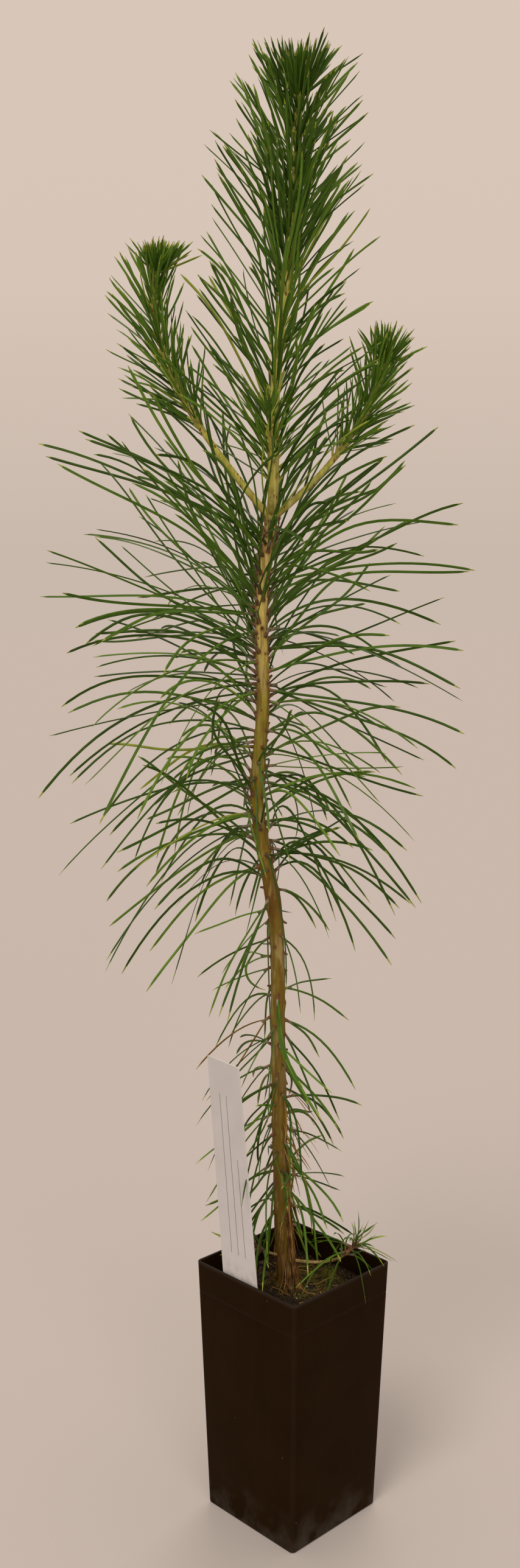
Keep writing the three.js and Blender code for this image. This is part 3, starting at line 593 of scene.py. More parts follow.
class Graph:
    """A node tree that is built up node by node."""

    def __init__(self, tree):
        self.tree = tree

    def put(self, socket, value):
        """Feeds a socket a plain value, another socket, or a node, which means its first live output."""
        if isinstance(value, bpy.types.Node):
            value = next(output for output in value.outputs if output.enabled)
        if isinstance(value, bpy.types.NodeSocket):
            self.tree.links.new(value, socket)
        elif socket.type == "RGBA":
            socket.default_value = (*value, 1.0)
        else:
            socket.default_value = value

    def fill(self, node, *values, **named):
        """Feeds a node's live inputs in turn, and others by name."""
        for socket, value in zip([socket for socket in node.inputs if socket.enabled], values):
            self.put(socket, value)
        for key, value in named.items():
            self.put(node.inputs[key.replace("_", " ")], value)
        return node

    def add(self, kind, *values, **named):
        """A new node. Names in small letters are its own settings, the others its inputs."""
        node = self.tree.nodes.new(kind)
        for key in [key for key in named if key.islower()]:
            setattr(node, key, named.pop(key))
        return self.fill(node, *values, **named)

    def number(self, operation, *values):
        return self.add("ShaderNodeMath", *values, operation=operation)

    def vector(self, operation, *values):
        return self.add("ShaderNodeVectorMath", *values, operation=operation)

    def place(self):
        return self.add("ShaderNodeTexCoord").outputs["Object"]

    def height(self):
        return self.add("ShaderNodeSeparateXYZ", self.place()).outputs["Z"]

    def stretched(self, height_scale):
        """Object coordinates, scaled along the height."""
        scale = self.add("ShaderNodeCombineXYZ", 1, 1, height_scale)
        return self.add("ShaderNodeMapping", self.place(), Scale=scale)

    def mask(self, group, **values):
        """One use of a shared group in a material, with its own values."""
        return self.add("ShaderNodeGroup", node_tree=group, **values)

    def spread(self, value, low, high):
        return self.add("ShaderNodeMapRange", value, To_Min=low, To_Max=high)

    def blend(self, share, low, high):
        return self.add("ShaderNodeMix", share, low, high, data_type="RGBA")

    def layered(self, color, *layers):
        """A colour under others, each with its mask and the most of it that shows."""
        for shown, most, over in layers:
            color = self.blend(shown if most == 1 else self.spread(shown, 0.0, most), color, over)
        return color

    def ramp(self, value, stops):
        """Colours by a value from 0 to 1, between stops of a place and a colour."""
        node = self.add("ShaderNodeValToRGB", value)
        elements = node.color_ramp.elements
        while len(elements) < len(stops):
            elements.new(0.5)
        for element, (place, color) in zip(elements, stops):
            element.position = place
            element.color = (*color, 1.0)
        return node


class Group(Graph):
    """A node group with one output. An input is a plain value, or the name of a type of socket."""

    def __init__(self, kind, name, **inputs):
        super().__init__(bpy.data.node_groups.new(name, kind))
        for key, value in inputs.items():
            self.new_socket(key.replace("_", " "), "INPUT", value)
        output = {"GeometryNodeTree": ("Geometry", "Geometry"), "ShaderNodeTree": ("Mask", "Float")}[kind]
        self.new_socket(output[0], "OUTPUT", output[1])
        self.given = self.tree.nodes.new("NodeGroupInput").outputs
        self.result = self.tree.nodes.new("NodeGroupOutput").inputs[0]

    def new_socket(self, label, way, value):
        kind = value if isinstance(value, str) else "Int" if isinstance(value, int) else "Float"
        socket = self.tree.interface.new_socket(label, in_out=way, socket_type=f"NodeSocket{kind}")
        if kind != value:
            socket.default_value = value

    def point(self, name, data_type="FLOAT"):
        return self.add("GeometryNodeInputNamedAttribute", name, data_type=data_type)

    def scattered(self):
        """Points over the given surface, by its mask and the given density."""
        density = self.number("MULTIPLY", self.point("mask"), self.given["Density"])
        return self.add(
            "GeometryNodeDistributePointsOnFaces", self.given["Geometry"], Density=density,
            Seed=self.given["Seed"],
        )

    def ended(self, value):
        """Puts a value out of the group, and gives the finished tree."""
        self.put(self.result, value)
        return self.tree

    def painted(self, geometry):
        """Ends a geometry tree with real geometry in the given material."""
        whole = self.add("GeometryNodeRealizeInstances", geometry)
        return self.ended(self.add("GeometryNodeSetMaterial", whole, Material=self.given["Material"]))


class Surface(Graph):
    """A material's tree, with the shader that its colour, roughness and relief go to."""

    def __init__(self, name, specular):
        self.material = bpy.data.materials.new(name)
        self.material.use_nodes = True
        super().__init__(self.material.node_tree)
        self.shader = self.fill(self.tree.nodes["Principled BSDF"], Specular_IOR_Level=specular)

    def point_value(self, name):
        return self.add("ShaderNodeAttribute", attribute_name=name).outputs["Fac"]

    def finished(self, color, roughness, *relief):
        """Feeds the shader. Relief is a mask, a strength and a depth in millimetres."""
        self.fill(self.shader, Base_Color=color, Roughness=roughness)
        if relief:
            height, strength, depth = relief
            self.fill(self.shader, Normal=self.add("ShaderNodeBump", strength, depth * MM, Height=height))
        return self.material


# Geometry trees

def needle_tree():
    """Runs a half-round section along each line, girth by girth, and gives each line its own tint."""
    tree = Group(
        "GeometryNodeTree", "needle_section", Geometry="Geometry", Section_Points=6, Round_Part=math.pi,
        Tip_Length=TIP_LENGTH, **{f"Needle_{tint}": "Material" for tint in (*TINTS, "tip")},
    )
    given = tree.given
    lines = tree.add("GeometryNodeMeshToCurve", given["Geometry"])
    away = tree.point("away", "FLOAT_VECTOR")
    turned = tree.add("GeometryNodeSetCurveNormal", lines, Normal=away, mode="FREE")
    arc = tree.add(
        "GeometryNodeCurveArc", Resolution=given["Section Points"], Radius=MM,
        Start_Angle=tree.number("MULTIPLY", given["Round Part"], -0.5), Sweep_Angle=given["Round Part"],
    )
    section = tree.add("GeometryNodeSetSplineCyclic", arc, Cyclic=True)
    tube = tree.add("GeometryNodeCurveToMesh", turned, section, tree.point("girth"), True)
    geometry = tree.add("GeometryNodeRealizeInstances", tube)
    tint = tree.point("tint", "INT")
    for index, label in enumerate(TINTS):
        same = tree.add("FunctionNodeCompare", tint, index, data_type="INT", operation="EQUAL")
        geometry = tree.add("GeometryNodeSetMaterial", geometry, same, given[f"Needle {label}"])
    at_tip = tree.number("LESS_THAN", tree.point("to_tip"), given["Tip Length"])
    return tree.ended(tree.add("GeometryNodeSetMaterial", geometry, at_tip, given["Needle tip"]))


def strand_tree():
    """Runs a round section along each line, girth by girth."""
    tree = Group("GeometryNodeTree", "strand_section", Geometry="Geometry", Sides=8, Material="Material")
    lines = tree.add("GeometryNodeMeshToCurve", tree.given["Geometry"])
    circle = tree.add("GeometryNodeCurvePrimitiveCircle", Resolution=tree.given["Sides"], Radius=MM)
    return tree.painted(tree.add("GeometryNodeCurveToMesh", lines, circle, tree.point("girth"), True))


def scale_leaf_tree():
    """Stands a small pointed scale on each point, along its aim, at its own size."""
    tree = Group(
        "GeometryNodeTree", "bark_scale", Geometry="Geometry", Length=2.4 * MM, Half_Width=0.9 * MM,
        Flatness=0.35, Point_Width=0.1 * MM, Material="Material",
    )
    given = tree.given
    cone = tree.add(
        "GeometryNodeMeshCone", Vertices=7, Side_Segments=3, Radius_Top=given["Point Width"],
        Radius_Bottom=given["Half Width"], Depth=given["Length"],
    )
    shape = tree.add("ShaderNodeCombineXYZ", 1, given["Flatness"], 1)
    flat = tree.add("GeometryNodeTransform", cone, Scale=shape)
    away = tree.add(
        "FunctionNodeAlignRotationToVector", Vector=tree.point("away", "FLOAT_VECTOR"), axis="Y",
    )
    aimed = tree.add(
        "FunctionNodeAlignRotationToVector", away, Vector=tree.point("aim", "FLOAT_VECTOR"), axis="Z",
    )
    points = tree.add("GeometryNodeMeshToPoints", given["Geometry"])
    return tree.painted(tree.add(
        "GeometryNodeInstanceOnPoints", points, Instance=flat, Rotation=aimed, Scale=tree.point("size"),
    ))


def crumb_tree():
    """Scatters rough crumbs over a surface, where its mask is up, each with its own shape and turn."""
    tree = Group(
        "GeometryNodeTree", "soil_crumbs", Geometry="Geometry", Density=60000.0, Smallest=0.5, Largest=1.6,
        Crumb_Radius=1.0 * MM, Slimness=0.45, Roughness=0.5 * MM, Seed=3, Material="Material",
    )
    given = tree.given
    ball = tree.add("GeometryNodeMeshIcoSphere", given["Crumb Radius"], 2)
    noise = tree.add("ShaderNodeTexNoise", Scale=700)
    centred = tree.vector("SUBTRACT", noise.outputs["Color"], (0.5, 0.5, 0.5))
    rough = tree.add(
        "GeometryNodeSetPosition", ball, Offset=tree.vector("SCALE", centred, given["Roughness"]),
    )
    turn = tree.add(
        "FunctionNodeRandomValue", (0, 0, 0), (math.tau, math.tau, math.tau), Seed=5,
        data_type="FLOAT_VECTOR",
    )
    size = tree.add("FunctionNodeRandomValue", given["Smallest"], given["Largest"], Seed=9, data_type="FLOAT")
    slim = tree.number("MULTIPLY", size, given["Slimness"])
    return tree.painted(tree.add(
        "GeometryNodeInstanceOnPoints", tree.scattered(), Instance=rough,
        Rotation=tree.add("FunctionNodeEulerToRotation", turn),
        Scale=tree.add("ShaderNodeCombineXYZ", size, slim, slim),
    ))


def moss_tree():
    """Stands short bent shoots of moss on a surface, where its mask is up."""
    tree = Group(
        "GeometryNodeTree", "moss_shoots", Geometry="Geometry", Density=900000.0, Shoot_Length=1.2 * MM,
        Shoot_Radius=0.24 * MM, Spread=0.7, Seed=4, Material="Material",
    )
    given = tree.given
    cone = tree.add(
        "GeometryNodeMeshCone", Vertices=5, Side_Segments=2, Radius_Top=0.03 * MM,
        Radius_Bottom=given["Shoot Radius"], Depth=given["Shoot Length"],
    )
    points = tree.scattered()
    lean = tree.add("FunctionNodeRandomValue", (-1, -1, 0), (1, 1, 0), Seed=6, data_type="FLOAT_VECTOR")
    raised = tree.vector("ADD", points.outputs["Normal"], tree.vector("SCALE", lean, given["Spread"]))
    return tree.painted(tree.add(
        "GeometryNodeInstanceOnPoints", points, Instance=cone,
        Rotation=tree.add("FunctionNodeAlignRotationToVector", Vector=raised, axis="Z"),
        Scale=tree.add("FunctionNodeRandomValue", 0.5, 1.2, data_type="FLOAT"),
    ))


GROWING_VALUES = ("girth", "away", "aim", "size", "to_tip", "tint")


def grown(obj, tree, **values):
    """Runs a geometry tree on an object and keeps the result as its plain mesh."""
    modifier = obj.modifiers.new(tree.name, "NODES")
    modifier.node_group = tree
    for item in tree.interface.items_tree:
        key = item.name.replace(" ", "_")
        if item.in_out == "INPUT" and key in values:
            modifier[item.identifier] = values[key]
    keep_result(obj)
    attributes = obj.data.attributes
    for name in GROWING_VALUES:
        if name in attributes:
            attributes.remove(attributes[name])
    return obj


# Masks

def grain_group():
    """Uneven grain: a mask from 0 to 1, scaled along the height."""
    tree = Group(
        "ShaderNodeTree", "uneven_grain", Scale=300.0, Height_Scale=1.0, Detail=3.0, Low=0.35, High=0.65,
    )
    given = tree.given
    place = tree.stretched(given["Height Scale"])
    noise = tree.add("ShaderNodeTexNoise", place, given["Scale"], given["Detail"])
    return tree.ended(tree.add("ShaderNodeMapRange", noise, given["Low"], given["High"]))


def speck_group():
    """Sparse round specks: a mask that is 1 inside a speck."""
    tree = Group(
        "ShaderNodeTree", "sparse_specks", Scale=200.0, Speck_Size=0.12, Height_Scale=1.0, Share=0.2,
    )
    given = tree.given
    cells = tree.add("ShaderNodeTexVoronoi", tree.stretched(given["Height Scale"]), given["Scale"])
    near = tree.number("LESS_THAN", cells.outputs["Distance"], given["Speck Size"])
    split = tree.add("ShaderNodeSeparateColor", cells.outputs["Color"])
    chosen = tree.number("LESS_THAN", split.outputs["Red"], given["Share"])
    return tree.ended(tree.number("MULTIPLY", near, chosen))


def veil_group():
    """Dust or soil that has settled below a height, broken up by streaks: a mask from 0 to 1."""
    tree = Group(
        "ShaderNodeTree", "settled_veil", Full_Height=0.004, Clear_Height=0.02, Streak_Scale=120.0,
        Streak_Low=0.45, Streak_High=0.75,
    )
    given = tree.given
    low = tree.add("ShaderNodeMapRange", tree.height(), given["Clear Height"], given["Full Height"])
    noise = tree.add("ShaderNodeTexNoise", tree.stretched(0.75), given["Streak Scale"], 5.0)
    streaks = tree.add("ShaderNodeMapRange", noise, given["Streak Low"], given["Streak High"])
    return tree.ended(tree.number("MULTIPLY", low, streaks))


GRAIN = grain_group()
SPECKS = speck_group()
VEIL = veil_group()


# Materials

def needle_material(name, dark, light, roughness):
    tree = Surface(name, 0.15)
    slow = tree.mask(GRAIN, Scale=90.0, Detail=2.0)
    fine = tree.mask(GRAIN, Scale=1500.0, Detail=2.0)
    rough = tree.spread(fine, roughness - 0.06, roughness + 0.08)
    return tree.finished(tree.blend(slow, dark, light), rough, fine, 0.12, 0.08)


def wood_material(name, stops, furrow, pale, scar, spots, roughness=0.8):
    """Bark: colour stops by height, darker furrows, paler flakes, scars where needles stood, and spots."""
    tree = Surface(name, 0.12)
    share = tree.add("ShaderNodeMapRange", tree.height(), SOIL_LEVEL * MM, TRUNK_TIP * MM)
    places = [((height - SOIL_LEVEL) / (TRUNK_TIP - SOIL_LEVEL), color) for height, color in stops]
    furrows = tree.mask(GRAIN, Scale=640.0, Height_Scale=0.09, Detail=4.0, Low=0.44, High=0.60)
    flakes = tree.mask(GRAIN, Scale=380.0, Height_Scale=0.4, Detail=4.0, Low=0.5, High=0.7)
    spotted = tree.mask(SPECKS, Scale=560.0, Speck_Size=0.27, Height_Scale=0.5, Share=spots)
    papery = tree.mask(GRAIN, Scale=300.0, Height_Scale=0.16, Detail=5.0, Low=0.52, High=0.62)
    color = tree.layered(
        tree.ramp(share, places), (papery, 0.6, pale), (furrows, 0.6, furrow), (flakes, 0.3, scar),
        (spotted, 1, scar), (tree.point_value("scar"), 1, scar),
    )
    return tree.finished(color, tree.spread(flakes, roughness - 0.1, roughness + 0.1), furrows, 0.5, 0.35)


def mottled_material(name, dark, light, scale, roughness, strength=0.4, depth=0.4, specks=None):
    """Crumbs, sheaths, moss and fibres: two tones in uneven grain, with a rough surface."""
    tree = Surface(name, 0.25)
    fine = tree.mask(GRAIN, Scale=6 * scale, Detail=4.0)
    color = tree.blend(tree.mask(GRAIN, Scale=scale, Detail=3.0), dark, light)
    if specks:
        color = tree.blend(tree.mask(SPECKS, Scale=420.0, Speck_Size=0.34, Share=0.12), color, specks)
    rough = tree.spread(fine, roughness - 0.1, min(roughness + 0.08, 1.0))
    return tree.finished(color, rough, fine, strength, depth)


def pot_material():
    """Dark brown moulded plastic, dusty near the foot, and paler at its edges: worn, with a painted highlight
    on the rim and corners.
    """
    tree = Surface("dusty_moulded_plastic", 0.025)
    slow = tree.mask(GRAIN, Scale=38.0, Detail=5.0, Low=0.3, High=0.75)
    streaks = tree.mask(GRAIN, Scale=160.0, Height_Scale=0.08, Detail=5.0, Low=0.5, High=0.8)
    dust = tree.mask(
        VEIL, Full_Height=-0.004, Clear_Height=0.024, Streak_Scale=95.0, Streak_Low=0.40, Streak_High=0.66,
    )
    dots = tree.mask(SPECKS, Scale=130.0, Speck_Size=0.04, Share=0.16)
    color = tree.layered(
        tree.blend(slow, (0.0124, 0.0048, 0.0003), (0.0174, 0.0073, 0.0010)),
        (streaks, 0.2, (0.020, 0.011, 0.004)), (dust, 0.6, (0.085, 0.074, 0.060)),
        # Paler edges: wear, with a painted highlight on the rim and corners
        (dots, 0.5, (0.20, 0.17, 0.14)), (tree.point_value("rubbed"), 0.5, (0.034, 0.027, 0.024)),
    )
    rough = tree.blend(dust, (0.44, 0.44, 0.44), (0.8, 0.8, 0.8))
    rough = tree.layered(rough, (slow, 0.4, (0.58, 0.58, 0.58)))
    return tree.finished(color, rough, tree.mask(GRAIN, Scale=2400.0, Detail=3.0), 0.18, 0.06)


def label_material():
    """White plastic with three ruled lines, faint scuffs, and soil smears where it meets the soil."""
    tree = Surface("ruled_white_label", 0.5)
    place = tree.add("ShaderNodeAttribute", attribute_name="on_label").outputs["Vector"]
    across, along, on_face = tree.add("ShaderNodeSeparateXYZ", place).outputs
    lines = None
    for middle, first, last in RULED_LINES:
        beside = tree.number("COMPARE", across, middle, RULED_HALF_WIDTH)
        within = tree.number("COMPARE", along, 0.5 * (first + last), 0.5 * (last - first))
        line = tree.number("MULTIPLY", beside, within)
        lines = tree.number("MAXIMUM", lines, line) if lines else line
    face = tree.number("MULTIPLY", lines, on_face)
    slow = tree.mask(GRAIN, Scale=60.0, Detail=4.0)
    smear = tree.mask(
        VEIL, Full_Height=0.128, Clear_Height=0.150, Streak_Scale=220.0, Streak_Low=0.42, Streak_High=0.7,
    )
    dots = tree.mask(SPECKS, Scale=110.0, Speck_Size=0.06, Share=0.08)
    color = tree.layered(
        tree.blend(slow, (0.56, 0.53, 0.53), (0.60, 0.572, 0.578)), (face, 0.8, (0.12, 0.115, 0.12)),
        (smear, 0.8, (0.12, 0.08, 0.05)), (dots, 1, (0.25, 0.18, 0.12)),
    )
    relief = tree.mask(GRAIN, Scale=1800.0, Detail=2.0)
    return tree.finished(color, tree.spread(slow, 0.34, 0.46), relief, 0.08, 0.05)


NEEDLE_TONES = {
    "deep": ((0.026, 0.060, 0.003), (0.042, 0.088, 0.006), 0.5),
    "mid": ((0.046, 0.100, 0.006), (0.068, 0.135, 0.011), 0.5),
    "fresh": ((0.076, 0.155, 0.011), (0.112, 0.200, 0.018), 0.5),
    "lime": ((0.15, 0.21, 0.018), (0.25, 0.29, 0.032), 0.5),
    "dead": ((0.13, 0.064, 0.012), (0.28, 0.160, 0.035), 0.7),
    "tip": ((0.17, 0.22, 0.018), (0.28, 0.31, 0.04), 0.5),
}
NEEDLE_MATERIALS = {
    f"Needle_{tint}": needle_material(f"needle_{tint}", *tones) for tint, tones in NEEDLE_TONES.items()
}
OLD_SHEATH = mottled_material(
    "grey_old_sheath", (0.11, 0.085, 0.045), (0.25, 0.20, 0.13), 260.0, 0.75, 0.4, 0.15,
)
YOUNG_SHEATH = mottled_material(
    "pale_young_sheath", (0.25, 0.25, 0.035), (0.46, 0.45, 0.10), 240.0, 0.7, 0.3, 0.12,
)
PEG = mottled_material("short_shoot_bark", (0.075, 0.034, 0.014), (0.20, 0.10, 0.042), 320.0, 0.85, 0.5, 0.2)
SCALE_LEAF = mottled_material("bud_scale_brown", (0.13, 0.065, 0.028), (0.36, 0.22, 0.11), 240.0, 0.8)
# The pale band from 472 to 522 is the young bark's own paler tone, lightened further as painted light where
# the needles shade the trunk
TRUNK_STOPS = (
    (126, (0.078, 0.037, 0.005)), (150, (0.115, 0.070, 0.007)), (215, (0.20, 0.138, 0.022)),
    (318, (0.18, 0.122, 0.017)), (338, (0.14, 0.068, 0.008)), (356, (0.20, 0.130, 0.012)),
    (400, (0.200, 0.160, 0.016)), (440, (0.27, 0.218, 0.033)), (472, (0.56, 0.425, 0.116)),
    (506, (0.76, 0.57, 0.180)), (522, (0.54, 0.37, 0.120)),
)
# The leader's stops from 536 to 640 are lightened as painted light where the needles shade it
LEADER_STOPS = (
    (524, (0.38, 0.25, 0.090)), (536, (0.56, 0.45, 0.15)), (560, (0.61, 0.54, 0.14)),
    (640, (0.56, 0.53, 0.11)), (726, (0.36, 0.38, 0.06)),
)
GREEN_STOPS = ((526, (0.40, 0.29, 0.090)), (545, (0.51, 0.47, 0.095)), (660, (0.42, 0.46, 0.060)))
TWIG_STOPS = ((130, (0.30, 0.19, 0.075)), (170, (0.34, 0.25, 0.09)))
TRUNK_BARK = wood_material(
    "scaly_young_bark", TRUNK_STOPS, (0.12, 0.062, 0.010), (0.38, 0.29, 0.115), (0.14, 0.06, 0.012), 0.05,
)
LEADER_WOOD = wood_material(
    "green_leader_wood", LEADER_STOPS, (0.30, 0.27, 0.05), (0.72, 0.64, 0.28), (0.20, 0.092, 0.018), 0.42,
    0.7,
)
BOUGH_WOOD = wood_material(
    "green_bough_wood", GREEN_STOPS, (0.28, 0.25, 0.04), (0.62, 0.55, 0.21), (0.20, 0.092, 0.02), 0.42,
    0.7,
)
TWIG_WOOD = wood_material(
    "thin_twig_bark", TWIG_STOPS, (0.14, 0.08, 0.02), (0.42, 0.30, 0.12), (0.10, 0.05, 0.02), 0.1,
)
SOIL = mottled_material(
    "damp_bark_mix", (0.010, 0.0048, 0.0016), (0.046, 0.024, 0.009), 330.0, 0.92, 0.9, 0.9,
    (0.14, 0.10, 0.07),
)
CHIP = mottled_material("bark_chip", (0.022, 0.0095, 0.0034), (0.098, 0.048, 0.017), 130.0, 0.9, 0.7, 0.4)
GRIT = mottled_material("pale_grit", (0.16, 0.13, 0.10), (0.42, 0.37, 0.31), 180.0, 0.85, 0.4, 0.2)
MOSS = mottled_material("olive_moss", (0.066, 0.055, 0.007), (0.205, 0.160, 0.020), 160.0, 0.9, 0.4, 0.2)
FIBRE = mottled_material("root_fibre", (0.080, 0.032, 0.007), (0.25, 0.125, 0.034), 200.0, 0.85, 0.4, 0.15)
NEEDLE_TREE = needle_tree()
STRAND_TREE = strand_tree()
SCALE_TREE = scale_leaf_tree()
CRUMB_TREE = crumb_tree()
MOSS_TREE = moss_tree()


# Pot

def pot_ring(height, inset, corner_radius, bulge):
    """Square ring with round corners and walls that swell a little between them."""
    half = pot_side_at(height) / 2 - inset
    straight = half - corner_radius
    angles = np.linspace(0, math.pi / 2, CORNER_STEPS + 1)
    shares = np.arange(1, FLAT_STEPS) / FLAT_STEPS
    x = np.concatenate((straight + corner_radius * np.cos(angles), mix(straight, -straight, shares)))
    y = np.concatenate((straight + corner_radius * np.sin(angles), half + bulge * np.sin(math.pi * shares)))
    sides = [flat_turn(x, y, POT_TURN + corner * math.pi / 2) for corner in range(4)]
    return np.concatenate([np.column_stack((*side, np.full(len(x), height))) for side in sides])


def pot_rings():
    """Rings up the outside, over the rim and down the inside: height, inset, and its paler tone of wear and
    painted highlight.
    """
    edge = [k * math.pi / 8 for k in range(5)]
    rim = [k * math.pi / 6 for k in range(4)]
    line = POT_HEIGHT - RIM_LINE_DROP
    return [
        *[(POT_EDGE * (1 - math.cos(a)), POT_EDGE * (1 - math.sin(a)), FOOT_WEAR) for a in edge],
        *[(height, 0.0, 0.0) for height in np.linspace(POT_EDGE * 2, line - RIM_LINE_WIDTH, OUTER_RINGS)],
        (line, RIM_LINE_DEPTH, LINE_WEAR), (line + RIM_LINE_WIDTH, 0.0, 0.1),
        *[(height, 0.0, 0.0) for height in np.linspace(line + 2, POT_HEIGHT - 2, BAND_RINGS)],
        *[(POT_HEIGHT - RIM_ROUND * (1 - math.sin(a)), RIM_ROUND * (1 - math.cos(a)), RIM_WEAR_AND_HIGHLIGHT) for a in rim],
        (POT_HEIGHT - INNER_BEVEL, POT_WALL - INNER_BEVEL, RIM_WEAR_AND_HIGHLIGHT),
        *[(height, POT_WALL, 0.0) for height in np.linspace(POT_HEIGHT - 0.8, POT_FLOOR, INNER_RINGS)],
    ]


def drain_cutter():
    """Four square pegs that cut the drain holes."""
    points, faces = [], []
    for k in range(4):
        corners = [[DRAIN_OFFSET + way * DRAIN_SIDE / 2 for way in corner] for corner in SQUARE]
        flat = [flat_turn(x, y, POT_TURN + k * math.pi / 2) for x, y in corners]
        points += [(x, y, z) for z in DRAIN_CUT for x, y in flat]
        faces += tube_faces(len(DRAIN_CUT), len(SQUARE), 8 * k)
    return mesh_object("drain_cutter", points, faces)


def make_pot():
    corners = np.tile((*np.sin(np.linspace(0, math.pi, CORNER_STEPS + 1)), *np.zeros(FLAT_STEPS - 1)), 4)
    points, rubbed = [], []
    for height, inset, ring_wear_and_highlight in pot_rings():
        bulge = POT_BULGE * math.sin(math.pi * min(height / POT_HEIGHT, 1))
        points.append(pot_ring(height, inset, max(POT_CORNER_RADIUS - inset, LEAST_CORNER_RADIUS), bulge))
        # Rims and corners turn paler: wear, with a painted highlight
        rubbed.append(np.clip(ring_wear_and_highlight + CORNER_WEAR_AND_HIGHLIGHT * corners * (inset < 1), 0, 1))
    body = mesh_object(
        "pot_body", np.concatenate(points), tube_faces(len(points), len(corners)),
        rubbed=np.concatenate(rubbed),
    )
    cutter = drain_cutter()
    cut = body.modifiers.new("drain_holes", "BOOLEAN")
    cut.operation = "DIFFERENCE"
    cut.solver = "EXACT"
    cut.object = cutter
    keep_result(body)
    bpy.data.objects.remove(cutter)
    body.data.materials.clear()
    finish_piece(body, "pot_plastic", 34, "pot", material=pot_material())


# Soil

def cell_noise(values, u, v):
    """Smooth noise between a table's values, which repeat both ways."""
    i, j = np.floor(u).astype(int), np.floor(v).astype(int)
    s, t = u - i, v - j
    s, t = s * s * (3 - 2 * s), t * t * (3 - 2 * t)
    rows, columns = values.shape

    def along_column(column):
        return mix(values[i % rows, column % columns], values[(i + 1) % rows, column % columns], s)

    return mix(along_column(j), along_column(j + 1), t)


def soil_noise(x, y, cell, shift, seed):
    """Smooth noise from -1 to 1 over the soil, in square cells."""
    values = np.random.default_rng(seed).uniform(-1, 1, (64, 64))
    return cell_noise(values, x / cell + shift, y / cell + shift)


def from_trunk(x, y, shift=(0, 0)):
    """How far a place on the soil is from the trunk's foot, or from a spot beside it."""
    trunk = trunk_point(SOIL_LEVEL)
    return np.hypot(x - trunk[0] - shift[0], y - trunk[1] - shift[1])


def soil_height(x, y):
    lumps = soil_noise(x, y, *SOIL_LUMPS)
    grains = soil_noise(x, y, *SOIL_GRAINS)
    mound = MOUND_HEIGHT * np.exp(-((from_trunk(x, y) / MOUND_SPREAD) ** 2))
    return SOIL_LEVEL - SOIL_SINK + SOIL_RELIEF * (0.6 * lumps + 0.4 * grains) + mound


def make_soil():
    half = pot_side_at(SOIL_LEVEL) / 2 - POT_WALL - SOIL_GAP
    ticks = np.linspace(-half, half, SOIL_CELLS + 1)
    u, v = np.meshgrid(ticks, ticks, indexing="ij")
    x, y = (side.ravel() for side in flat_turn(u, v, POT_TURN))
    surface = np.column_stack((x, y, soil_height(x, y)))
    cells = np.arange(len(x)).reshape(u.shape)
    top = np.stack((cells[:-1, :-1], cells[1:, :-1], cells[1:, 1:], cells[:-1, 1:]), axis=-1).reshape(-1, 4)
    edge = np.concatenate((cells[:, 0], cells[-1, 1:], cells[-2::-1, -1], cells[0, -2:0:-1]))
    shrink = (pot_side_at(POT_FLOOR) / 2 - POT_WALL - FLOOR_GAP) / half
    floor = np.column_stack((x[edge] * shrink, y[edge] * shrink, np.full(len(edge), POT_FLOOR + FLOOR_GAP)))
    below = len(x) + np.arange(len(edge))
    sides = np.column_stack((edge, below, np.roll(below, -1), np.roll(edge, -1)))
    soil = mesh_object("soil_surface", np.concatenate((surface, floor)), [*top, *sides, below[::-1]])
    finish_piece(soil, "soil_mix", 60, "soil", material=SOIL)

    away = from_trunk(x, y)
    inside = np.clip(half - CRUMBS_FROM_WALL - np.maximum(abs(u.ravel()), abs(v.ravel())), 0, 1)
    middle, _, across = label_at(SOIL_LEVEL)
    off_label = [abs((np.array(spot) - middle) @ across) / CRUMBS_FROM_LABEL - 1 for spot in zip(x, y)]
    open_soil = inside * np.clip(off_label, 0, 1)
    patchy = np.clip(0.5 + 1.3 * soil_noise(x, y, *MOSS_PATCHES), 0, 1)
    near = np.clip(1.5 - from_trunk(x, y, MOSS_SHIFT) / MOSS_SPREAD, 0, 1)
    green = patchy * near * (away > MOSS_FROM_TRUNK)
    layers = (
        ("bark_chips", CRUMB_TREE, open_soil * (away > CHIPS_FROM_TRUNK), CHIP, {
            "Density": 130000.0, "Smallest": 0.4, "Largest": 1.9, "Slimness": 0.5, "Seed": 3,
        }),
        ("soil_grit", CRUMB_TREE, open_soil * (away > GRIT_FROM_TRUNK), GRIT, {
            "Density": 11000.0, "Smallest": 0.3, "Largest": 0.8, "Slimness": 0.8, "Seed": 8,
        }),
        ("moss", MOSS_TREE, open_soil * green, MOSS, {"Density": 4200000.0}),
    )
    for name, tree, shown, material, values in layers:
        layer = mesh_object(name, surface, top, mask=shown)
        finish_piece(grown(layer, tree, Material=material, **values), "soil_mix", 50)


# Label

